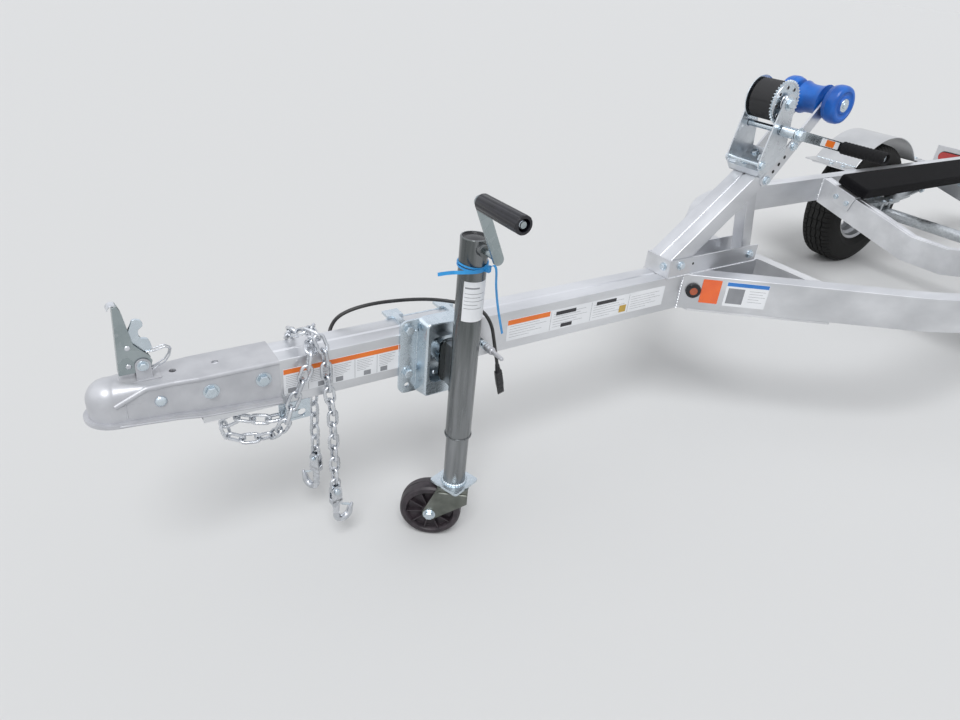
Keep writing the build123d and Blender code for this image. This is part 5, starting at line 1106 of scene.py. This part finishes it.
def make_winch_drum():
    centre = at(DRUM[0], 0, DRUM[1])
    near = basis(Vector((centre.x, -41, centre.z)), NEAR_SIDE)
    shade, face = Shape(), Shape()
    for i in range(8):
        spot = near @ Matrix.Translation(polar(38, 2 * pi * i / 8 + 0.2, 0.05))
        shade.add(lathe([(0, 0), (0, 4.6), (0.5, 4.6), (0.5, 0)], 20), spot)
        face.add(closed_lathe([(0, 4.6), (0, 6), (0.9, 5.6), (0.9, 4.6)], 20), spot)
    face.add(closed_lathe([(0, 46), (1.0, 46.6), (1.0, 50.0), (0, 50.6)], 64), near)
    face.add(closed_lathe([(0, 8), (0, 20), (2.0, 19), (2.0, 8)], 40), near)
    piece("gear_hole_shadows", shade, "winch_drum", "dark", "black_plastic")
    piece("gear_pressing", face, "winch_drum", "chain", "zinc")
    layers = [
        (33.2 - (0.9 if i % 2 else 0), STRAP_CORE + (STRAP_RADIUS - STRAP_CORE) * i / STRAP_RINGS)
        for i in range(STRAP_RINGS + 1)
    ]
    roll = closed_lathe(layers + [(-z, r) for z, r in reversed(layers)], 72)
    strap = Shape().add(roll, basis(centre, NEAR_SIDE))
    end = arc(centre.x, centre.z, 50.3, 100, 178, 14)
    strap.add(strip([(x, 0, z) for x, z in end], 64, 1.6, (0, 1, 0)))
    piece("strap_roll", strap, "winch_drum", "webbing", sharp=40, replaces=("winch_strap",))
    hub = at(PINION[0], -106, PINION[1])
    crank = Shape().add(hex_head(24, 14), basis(hub, NEAR_SIDE))
    sleeve = closed_lathe([(0, 8), (0, 13.5), (40, 13.5), (40, 8)], 32)
    crank.add(sleeve, basis(at(PINION[0], -59, PINION[1]), NEAR_SIDE))
    piece("winch_crank_nut", crank, "winch_crank", "zinc", bevel=0.4)
    middle = hub + WINCH_RUN * 158 + Vector((0, -0.15, 0))
    make_label("crank_label", "winch_crank", middle, WINCH_RUN, NEAR_SIDE, 92, 19,
               ((-22, 22, "label_orange"),))


# Bow roller, its halves' sections as distance from the middle and radius
ROLLER = (1891.0, 444.0)
ROLLER_WAIST = ((8, 37.2), (16, 38), (24, 40), (30, 43), (33.1, 43.6), (33.1, 9))
ROLLER_BELL = (
    (49.1, 9), (49.1, 41), (50.4, 44), (55, 46.8), (62, 48.4), (64, 48.9), (64.6, 49.6), (72, 50), (82, 49.2),
    (88, 46.8), (91, 42.6), (91.1, 36), (89.2, 34.5), (87.2, 32), (86.8, 25), (88.4, 22), (91, 20.5), (91, 9),
)
ARM_FOOT = (1710.5, 243.6)
ARM_FACE = 44.1
SHOE_FACE = 43.4


def make_roller():
    place = basis(at(ROLLER[0], 0, ROLLER[1]), NEAR_SIDE)
    waist = [(-z, r) for z, r in reversed(ROLLER_WAIST)] + [(0, 37), *ROLLER_WAIST]
    rubber = Shape().add(closed_lathe(waist, 64), place)
    shaft = Shape().add(lathe([(-94, 0), (-94, 7), (-93, 8), (93, 8), (94, 7), (94, 0)], 24), place)
    for side, _ in SIDES:
        rubber.add(closed_lathe([(side * z, r) for z, r in ROLLER_BELL], 64), place)
        for ring, count in (((90.6, 8), (90.6, 17.5), (92, 16.5), (92, 8)), 40), (
                ((44.5, 8), (44.5, 15), (48.6, 15), (48.6, 8)), 32):
            shaft.add(closed_lathe([(side * z, r) for z, r in ring], count), place)
    piece("bow_roller_rubber", rubber, "bow_roller", "blue", "blue_roller", sharp=40,
          replaces=("bow_roller",))
    piece("bow_roller_shaft", shaft, "bow_roller", "zinc", bevel=0.3)


def make_post_trim():
    """Bolts of the post, its shoe, its strut and the roller's arms, and near-black discs painted as the shade in their
    holes.
    """
    bolts, holes = Shape(), Shape()
    foot = at(ARM_FOOT[0], 0, ARM_FOOT[1])
    run = (at(ROLLER[0], 0, ROLLER[1]) - foot).normalized()
    for side, _ in SIDES:
        facing = (0, side, 0)
        for distance in (0, 118):
            bolts.add(hex_head(17, 9), basis(foot + run * distance + Vector((0, side * ARM_FACE, 0)), facing))
        # painted shade: thin near-black discs over the arms' holes stand for the shade inside them
        for distance in (30, 55, 80):
            spot = foot + run * distance + Vector((0, side * (ARM_FACE + 0.05), 0))
            holes.add(lathe([(0, 0), (0, 5), (0.4, 5), (0.4, 0)], 18), basis(spot, facing))
        heads(hex_head(17, 9), ((1443, side * SHOE_FACE, 32), (1735, side * SHOE_FACE, 25)), facing, bolts)
        # painted shade: a near-black disc over the shoe's hole
        hole = lathe([(0, 0), (0, 3.6), (0.4, 3.6), (0.4, 0)], 16)
        heads(hole, [(1492, side * (SHOE_FACE + 0.05), 31)], facing, holes)
    heads(hex_head(15, 8), [(1400, -22, 28)], (-1, 0, 0), bolts)
    piece("post_bolts", bolts, "frame", "zinc", bevel=0.4)
    piece("post_hole_shades", holes, "frame", "dark", "black_plastic")


# Wheels
WHEEL_RADIUS = 300.0
TRACK_HALF = 668.0
TYRE_SEGMENTS = 576
# across the wheel, radius, share of the zigzag, share of the shoulder cuts, share of the middle cuts
TREAD_HALF = (
    (10.6, 300.0, 1, 0, 1), (11.6, 293.5, 1, 0, 0), (16.4, 293.5, 1, 0, 0), (17.4, 299.8, 1, 0, 1),
    (35.6, 299.0, 1, 0, 1), (36.6, 292.6, 1, 0, 0), (41.4, 292.4, 1, 0, 0), (42.4, 298.4, 1, 1, 0),
    (58.0, 296.8, 0, 1, 0), (64.5, 293.4, 0, 1, 0), (70.0, 286.4, 0, 1, 0),
)
WALL_HALF = (
    (74.5, 278.0), (77.2, 270.0), (77.9, 268.6), (79.6, 262.0), (81.6, 250.0), (82.4, 236.0), (81.8, 222.0),
    (80.0, 209.0), (80.4, 206.0), (78.8, 203.2), (76.6, 198.0), (73.4, 190.6), (69.0, 184.2), (63.0, 177.6),
    (60.0, 174.0), (54.0, 166.6),
)
NUT_CIRCLE = 44.0
NUTS = 5


def tyre_half(index, sign):
    """Points of one half section of the tyre, from the middle out."""
    zigzag = 2.6 * (abs((index % 16) - 8) / 4 - 1)
    shoulder = 5.5 if index % 8 in ((0, 1) if sign > 0 else (4, 5)) else 0.0
    middle = 4.0 if (index + 3) % 16 == 0 else 0.0
    points = [
        (sign * z + zigzag * zig, r - shoulder * cut - middle * sipe)
        for z, r, zig, cut, sipe in TREAD_HALF
    ]
    return points + [(sign * z, r) for z, r in WALL_HALF]


def first_nut(name, place):
    """Angle of the first wheel nut, read from the solid's own nuts."""
    phase = Vector((0, 0))
    for vertex in frame["nodes"][f"rim_{name}"].data.vertices:
        local = place.inverted() @ (vertex.co / MM)
        if local.z > 24 and 36 < local.xy.length < 52:
            phase += polar(1, NUTS * atan2(local.y, local.x)).xy
    return atan2(phase.y, phase.x) / NUTS


def make_wheels():
    rings = []
    for i in range(TYRE_SEGMENTS):
        section = list(reversed(tyre_half(i, -1))) + tyre_half(i, 1)
        rings.append([polar(r, 2 * pi * i / TYRE_SEGMENTS, z) for z, r in section])
    rubber = loft(rings, closed=True)
    for side, name in SIDES:
        body = f"wheel_{name}"
        place = basis(at(AXLE, side * TRACK_HALF, WHEEL_RADIUS - DECK_HEIGHT), (0, side, 0), AFT)
        piece(f"tyre_tread_{name}", Shape().add(rubber, place), body, "tyre", sharp=32,
              replaces=(f"tyre_{name}",))
        trim = Shape()
        first = first_nut(name, place)
        for i in range(NUTS):
            nut = place @ Matrix.Translation(polar(NUT_CIRCLE, first + 2 * pi * i / NUTS, 15))
            trim.add(lathe([(0, 0), (0, 11.5), (8, 10.4), (17, 10.0), (19, 8), (19, 0)], 6), nut)
        cap = lathe([(0, 0), (0, 31.5), (18, 31), (24, 29), (27, 24), (28, 10), (28, 0)], 48)
        trim.add(cap, place @ Matrix.Translation((0, 0, 24)))
        piece(f"lug_nuts_{name}", trim, body, "chain", "zinc", bevel=0.6)
        lip = Shape()
        for outer in (-1, 1):
            edge = ((57.6, 168.6), (60.4, 170.6), (62.4, 173.6), (61.6, 175), (59.0, 173.6))
            lip.add(closed_lathe([(outer * z, r) for z, r in edge], 96), place)
        lip.add(sweep([place @ Vector((140, 0, z)) for z in (12, 30)], (4.5, 3.0), 12, round_ends=True))
        piece(f"rim_lip_{name}", lip, body, "silver_paint", sharp=40)


# Fenders on their brackets
FENDER_RADIUS = 342.0
FENDER_INNER = 570.0
FENDER_WIDTH = 220.0
FENDER_STEPS = 56
TAB_ABOVE = 2.0
FENDER_REACH = acos((DECK_HEIGHT + TAB_ABOVE - WHEEL_RADIUS) / FENDER_RADIUS)
FENDER_ROOT = FENDER_RADIUS * sin(FENDER_REACH)
# distance outward from the fender's inner edge, height over the sheet's underside
FENDER_SECTION = (
    arc(2.4, 1.5, 3.0, 300, 60, 8) + [(8, 3)] + arc(FENDER_WIDTH - 13.6, -9, 12, 90, 0, 6)
    + [(FENDER_WIDTH - 1.6, -40)] + arc(FENDER_WIDTH - 3.2, -43, 2.8, 40, -220, 8)
    + [(FENDER_WIDTH - 4.6, -38)] + arc(FENDER_WIDTH - 13.6, -9, 9, 0, 90, 5) + [(8, 0)]
)
BRACKET_SECTION = ((0, 0), (184, 0), (184, -6), (6, -6), (6, -64), (0, -64))
BRACKET_WIDTH = 76.0


def make_fenders():
    brackets = Shape()
    for side, name in SIDES:
        rings = []
        for i in range(FENDER_STEPS + 1):
            angle = -FENDER_REACH + 2 * FENDER_REACH * i / FENDER_STEPS
            rings.append([
                at(AXLE + (FENDER_RADIUS + high) * sin(angle), side * (FENDER_INNER + out),
                   WHEEL_RADIUS - DECK_HEIGHT + (FENDER_RADIUS + high) * cos(angle))
                for out, high in FENDER_SECTION
            ])
        fender, beads = Shape().add(loft(rings)), Shape()
        for end in (-1, 1):
            middle = at(AXLE + end * (FENDER_ROOT + 46), side * (FENDER_INNER + FENDER_WIDTH / 2), TAB_ABOVE)
            fender.add(plate(rounded(96, FENDER_WIDTH - 6, 16), [], 0, 3), basis(middle, UP, (end, 0, 0)))
            beads.add(bumpy_bead([
                at(AXLE + end * (FENDER_ROOT + 1), side * (FENDER_INNER + y), TAB_ABOVE + 3.4)
                for y in (6, FENDER_WIDTH - 14)
            ], 2.6))
            for y in (-80, -20):
                beads.add(hex_head(15, 7), basis(middle + Vector((end * 18, side * y, 3)), UP))
            x = AXLE + end * (FENDER_ROOT + 52) - BRACKET_WIDTH / 2
            turn = Matrix(((0, 0, 1, 0), (side, 0, 0, 0), (0, 1, 0, 0), (0, 0, 0, 1)))
            outline = [(FRAME_HALF + y, z) for y, z in BRACKET_SECTION]
            brackets.add(plate(outline, [], 0, BRACKET_WIDTH), Matrix.Translation(at(x, 0, TAB_ABOVE)) @ turn)
        piece(f"fender_shell_{name}", fender, "frame", "silver_paint", sharp=40, bevel=0.6,
              replaces=(f"fender_{name}",))
        piece(f"fender_welds_{name}", beads, "frame", "zinc", sharp=50)
    piece("fender_angles", brackets, "frame", "mill", "bare_aluminium", bevel=0.8,
          replaces=("fender_brackets",))


# Bunks, carpeted all round
BUNK_WIDTH = 140.0
BUNK_THICKNESS = 45.0
BUNK_FRONT = 2975.0
BUNK_REAR = 5085.0
BUNK_LIFT = 6.0
CARPET_RIB = 0.45
# distance from the end, how far the section shrinks there
BUNK_ENDS = ((0, 15), (1.5, 10.5), (4.5, 6), (9, 2.6), (14, 0.7), (20, 0))


def bunk_section():
    """Section of the bunk about its middle, with the carpet's fine ribs on its sides."""
    outline = rounded(BUNK_WIDTH, BUNK_THICKNESS, 9)
    points = []
    for (x0, y0), (x1, y1) in zip(outline, outline[1:] + outline[:1]):
        length = sqrt((x1 - x0) ** 2 + (y1 - y0) ** 2)
        steps = max(1, int(length / 2.6))
        for t in (i / steps for i in range(steps)):
            rib = (CARPET_RIB if len(points) % 2 else 0.0) / length
            points.append((x0 + (x1 - x0) * t - (y1 - y0) * rib, y0 + (y1 - y0) * t - (x0 - x1) * rib))
    return points


def make_bunks():
    section = bunk_section()
    half_width, half = BUNK_WIDTH / 2, BUNK_THICKNESS / 2
    ends = [(BUNK_FRONT + run, shrink) for run, shrink in BUNK_ENDS]
    ends += [(BUNK_REAR - run, shrink) for run, shrink in reversed(BUNK_ENDS)]
    for side, name in SIDES:
        normal = Vector((0, -side * sin(BUNK_SLOPE), cos(BUNK_SLOPE)))
        across = Vector((0, side * cos(BUNK_SLOPE), sin(BUNK_SLOPE)))
        rings = []
        for station, shrink in ends:
            middle = at(station, side * BUNK_Y, BUNK_FOOT) + normal * (BUNK_LIFT + half)
            wide, thick = across * (1 - shrink / half_width), normal * (1 - shrink / half)
            rings.append([middle + wide * x + thick * y for x, y in section])
        piece(f"bunk_carpet_{name}", Shape().add(loft(rings)), "frame", "carpet", sharp=50,
              replaces=(f"bunk_{name}",))


# Labels without words: a white panel, bands of colour and thin rules
LABEL_FACE = -TONGUE_HALF - 0.1


def make_label(name, body, middle, along, facing, width, height, bands=(), rules=()):
    """Bands are (from, to, paint) along the label, then its heights (from, to) if not all."""
    place = basis(middle, facing, along)
    panel = Shape().add(plate(rounded(width, height, 1.5), [], 0, 0.35), place)
    piece(name, panel, body, "label_white", "bare_aluminium")
    for index, (low, high, paint, *level) in enumerate(bands):
        bottom, top = level or (-height / 2 + 1, height / 2 - 1)
        patch = plate([(low, bottom), (high, bottom), (high, top), (low, top)], [], 0.3, 0.5)
        piece(f"{name}_band_{index}", Shape().add(patch, place), body, paint, "bare_aluminium")
    if rules:
        lines = Shape()
        for x0, y0, x1, y1 in rules:
            lines.add(block((x0, y0, 0.3), (x1, y1, 0.48)), place)
        piece(f"{name}_rules", lines, body, "label_grey", "bare_aluminium")


def columns_of(cell, count, start, low, high, lines, inset, thick=0.35):
    """Rules between cells of a label, and the thin lines (height, length) in each of them."""
    between = [(start + cell * i - 0.4, low, start + cell * i + 0.4, high) for i in range(1, count)]
    return between + [
        (start + cell * i + inset, z - thick, start + cell * i + inset + w, z + thick)
        for i in range(count) for z, w in lines
    ]


def make_labels():
    lines = ((12, 38), (8, 30), (4, 36), (0, 26), (-4, 34), (-8, 28), (-12, 20))
    starts = [-126 + 50.4 * i + 8 + 12 * (i % 2) for i in range(5)]
    bands = [(-125, 125, "label_orange", 17, 28)] + [(x, x + 16, "label_grey", -27, -16) for x in starts]
    make_label("tongue_label", "frame", at(471, LABEL_FACE, -51), AFT, NEAR_SIDE, 252, 58, bands,
               columns_of(50.4, 5, -126, -28, 16, lines, 5))
    lines = ((16, 104), (9, 88), (2, 110), (-5, 76), (-12, 96), (-19, 60))
    bands = ((-261, -135, "label_orange", 14, 27), (-116, -52, "label_dark", 12, 22),
             (-96, -60, "label_dark", -24, -14), (16, 84, "label_dark", 14, 24),
             (100, 124, "label_amber", -22, -2))
    make_label("tongue_notice", "frame", at(1144, LABEL_FACE, -51), AFT, NEAR_SIDE, 524, 56, bands,
               columns_of(131, 4, -262, -26, 26, lines, 8))
    along = Vector((cos(RAIL_SLOPE), -sin(RAIL_SLOPE), 0))
    outward = Vector((-sin(RAIL_SLOPE), -cos(RAIL_SLOPE), 0))
    corner = at(MOUTH, -TONGUE_HALF, 0) + outward * 0.1
    place = basis(corner + along * 82 + Vector((0, 0, -44)), outward, along)
    reflector = Shape().add(plate(rounded(52, 70, 1.5), [], 0, 1.0), place)
    piece("orange_reflector", reflector, "frame", "reflector", "amber_lens")
    rules = [(8, z - 0.4, 8 + w, z + 0.4) for z, w in ((14, 44), (6, 38), (-2, 46), (-10, 30), (-18, 40))]
    make_label("rail_label", "frame", corner + along * 182 + Vector((0, 0, -46)), along, outward, 118, 72,
               ((-58, 58, "label_blue", 24, 35), (-52, -6, "label_grey", -28, 18)), rules)
    level = at(JACK, JACK_Y, 116)
    patch = Shape().add(curved_patch(level, (28.5, 28.95), (-43, 43), -152, 112, 20))
    piece("tube_label", patch, "jack_leg", "label_white", "bare_aluminium", sharp=40)
    bars = Shape()
    for z, span, half in (
        (30, 60, 1.6), (18, 84, 0.5), (10, 70, 0.5), (2, 90, 0.5), (-6, 56, 0.5), (-14, 76, 0.5),
    ):
        bars.add(curved_patch(level, (28.9, 29.05), (z - half, z + half), -146, span, 12))
    piece("tube_label_bars", bars, "jack_leg", "label_grey", "bare_aluminium", sharp=40)


def make_lamps():
    grommets, housings = Shape(), Shape()
    ring, hole = slot_outline(-50.5, 0, 50.5, 0, 29.5, 14), slot_outline(-50.5, 0, 50.5, 0, 25.0, 14)
    for side, _ in SIDES:
        centre = at(4480, side * (FRAME_HALF + 102.5), -TONGUE_DEPTH / 2)
        for x in (5, -4):
            grommets.add(plate(ring, [hole], 0, 4), basis(centre + Vector((x, 0, 0)), AFT, (0, 1, 0)))
        along = Vector((cos(RAIL_SLOPE), side * sin(RAIL_SLOPE), 0))
        outward = Vector((-sin(RAIL_SLOPE), side * cos(RAIL_SLOPE), 0))
        marker = basis(at(MOUTH, side * TONGUE_HALF, -45) + along * 34, outward)
        bezel = ((0, 20), (0, 21), (6, 21), (9, 19), (9.6, 15), (9.4, 11), (8.4, 10.4), (7.2, 15))
        housings.add(closed_lathe(bezel, 40), marker)
    piece("lamp_grommets", grommets, "frame", "black_plastic", bevel=1.2)
    piece("marker_grommets", housings, "frame", "black_plastic")


# Welds and fasteners of the frame and the springs
SPRING_Y = 534.6
U_BOLT_ABOVE = -160.6
SPRING_EYE_ABOVE = -134.6


def make_frame_trim():
    welds, nuts = Shape(), Shape()
    for side, _ in SIDES:
        y = side * (TONGUE_HALF + 0.6)
        welds.add(bumpy_bead([at(MOUTH - 3, y, z) for z in (-1, -TONGUE_DEPTH + 1)], 3.0))
        inner = FRAME_HALF - RAIL_WIDTH
        for x in CROSSMEMBERS:
            for edge in (x - RAIL_WIDTH / 2 - 0.4, x + RAIL_WIDTH / 2 + 0.4):
                welds.add(bumpy_bead([at(edge, side * (inner - 0.8), z) for z in (-2, -98)], 2.6))
            welds.add(bumpy_bead([at(x + run, side * (inner - 0.6), 0.2) for run in (-24, 24)], 2.4))
        welds.add(bumpy_bead([at(s, side * 43.6, 0.4) for s in (1400, 1767)], 2.2))
        for x in (-31.7, 31.7):
            spots = [(AXLE + x, side * SPRING_Y + y, U_BOLT_ABOVE) for y in (-34.5, 34.5)]
            heads(hex_head(19, 9), spots, UP, nuts)
        for x in (-330, 330):
            for out in (-1, 1):
                spots = [(AXLE + x, side * SPRING_Y + out * 27.5, SPRING_EYE_ABOVE)]
                heads(hex_head(19, 8), spots, (0, out, 0), nuts)
        normal = Vector((0, -side * sin(BUNK_SLOPE), cos(BUNK_SLOPE)))
        across = Vector((0, side * cos(BUNK_SLOPE), sin(BUNK_SLOPE)))
        for x in CROSSMEMBERS:
            foot = at(x - RAIL_WIDTH / 2 - 6, side * BUNK_Y, BUNK_FOOT)
            for y in (-28, 28):
                nuts.add(hex_head(15, 7), basis(foot + across * y - normal * 34, (-1, 0, 0)))
    piece("frame_welds", welds, "frame", "weld", "bare_aluminium", sharp=50)
    piece("running_gear_nuts", nuts, "frame", "zinc", bevel=0.4)


# Wiring: the cable on one smooth curve, and its plug
CABLE_POINTS = (
    (478, 41.1, -24), (478, 54.1, -24), (486, 66, -9), (501, 66, 13), (531, 59, 29), (576, 52, 37),
    (622, 50, 36), (674, 47, 32), (718, 36, 29), (757, 14, 26), (787, -16, 25), (806, -44, 18),
    (817, -64, -8), (823, -70, -44), (835, -66, -84), (848, -60, -122),
)
CABLE_LENGTH = 0.556
CABLE_RADIUS = 4.0
PLUG_ACROSS = (0.947372, -0.049929, 0.316217)
PLUG_GROOVES = (34, 42, 50, 58, 66)
PLUG_PINS = (-6.6, -2.2, 2.2, 6.6)


def make_plug(start, down):
    place = basis(start, down, PLUG_ACROSS)
    relief = [(0, 0), (0, 4.2), (1, 5.2)]
    for i in range(5):
        z, wide, narrow = 4 + 4 * i, 5.4 + 0.35 * i, 4.7 + 0.35 * i
        relief += [(z, wide), (z + 2, wide), (z + 2.3, narrow), (z + 3.8, narrow)]
    plug = Shape().add(lathe(relief + [(26, 7), (26, 0)], 24), place)
    plug.add(plate(rounded(18, 11, 3), [], 24, 78), place)
    for z in PLUG_GROOVES:
        plug.add(plate(rounded(18.8, 11.8, 3), [], z, z + 3), place)
    for x in PLUG_PINS:
        pin = lathe([(78, 0), (78, 2.9), (103, 2.7), (104, 2.2), (104, 0)], 16)
        plug.add(pin, place @ Matrix.Translation((x, 0, 0)))
    return piece("plug_body", plug, "frame", "black_plastic", sharp=35, bevel=0.5, replaces=("wiring_plug",))


def make_wiring():
    points = [at(*p) * MM for p in CABLE_POINTS]
    curve = bpy.data.curves.new("trailer_cable", "CURVE")
    curve.dimensions = "3D"
    spline = curve.splines.new("NURBS")
    spline.points.add(len(points) - 1)
    for target, point in zip(spline.points, points):
        target.co = (*point, 1)
    spline.order_u = 3
    spline.use_endpoint_u = True
    curve.resolution_u = 10
    curve.bevel_depth = CABLE_RADIUS * MM
    curve.bevel_resolution = 5
    curve.use_fill_caps = True
    curve.materials.append(PAINTS["cable"])
    cable = link("trailer_cable", curve)
    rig.ride(cable, "frame")
    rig.slot(cable, "cable_black")
    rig.replaces(cable, "wiring_cable")
    end, before = at(*CABLE_POINTS[-1]), at(*CABLE_POINTS[-2])
    sleeve = make_plug(end, end - before)
    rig.cord(cable, exit=tuple(points[0]), length=CABLE_LENGTH, diameter=2 * CABLE_RADIUS * MM, far_end="plug",
            stiffness="medium", lay="loose", with_pieces=[sleeve])


# How each CAD node that stays is finished: paint, edge radius, nodes
DRESSED = (
    ("mill", 1.2, "tongue rail_left rail_right"),
    ("mill_across", 1.2, "crossmember_front crossmember_middle crossmember_rear"),
    ("mill", 0.8, "post_shoe post_strut roller_arms bunk_brackets tail_lamp_plates"),
    ("mill", 1.0, "winch_post"),
    ("gusset", 0.8, "front_gusset"),
    ("zinc", 0.8, "chain_bracket winch_crank"),
    ("zinc", 0.4, "winch_drum"),
    ("zinc", 1.4, "jack_mount"),
    ("latch_zinc", 1.0, "coupler_latch"),
    ("latch_zinc", 1.2, "jack_crank"),
    ("galvanised", 0.8, "axle"),
    ("galvanised", 0.5, "spring_left spring_right"),
    ("tube_zinc", 0.8, "jack_outer_tube jack_inner_tube"),
    ("grey_paint", 1.0, "coupler"),
    ("dark_paint", 0.8, "caster_yoke"),
    ("silver_paint", 0.0, "rim_left rim_right"),
    ("black_plastic", 0.8, "end_caps"),
    ("black_plastic", 0.5, "cable_grommet"),
    ("red", 1.5, "tail_lamps"),
    ("amber", 1.0, "side_markers"),
)

make_camera()
make_wiring()
for paint, edge, nodes in DRESSED:
    for name in nodes.split():
        dress(name, paint, edge)
for make in (
    make_coupler, make_latch, make_mount_trim, make_jack_trim, make_cable_tie, make_grips, make_caster,
    make_winch_frame, make_winch_drum, make_roller, make_post_trim, make_wheels, make_fenders, make_bunks,
    make_labels, make_lamps, make_frame_trim,
):
    make()
for name in ROUTES:
    make_chain(name)
make_stage()

visual_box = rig.bounds()
with open("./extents.json", "w") as sizes:
    json.dump({"cad": [list(corner) for corner in cad_box], "visual": [list(corner) for corner in visual_box]}, sizes)
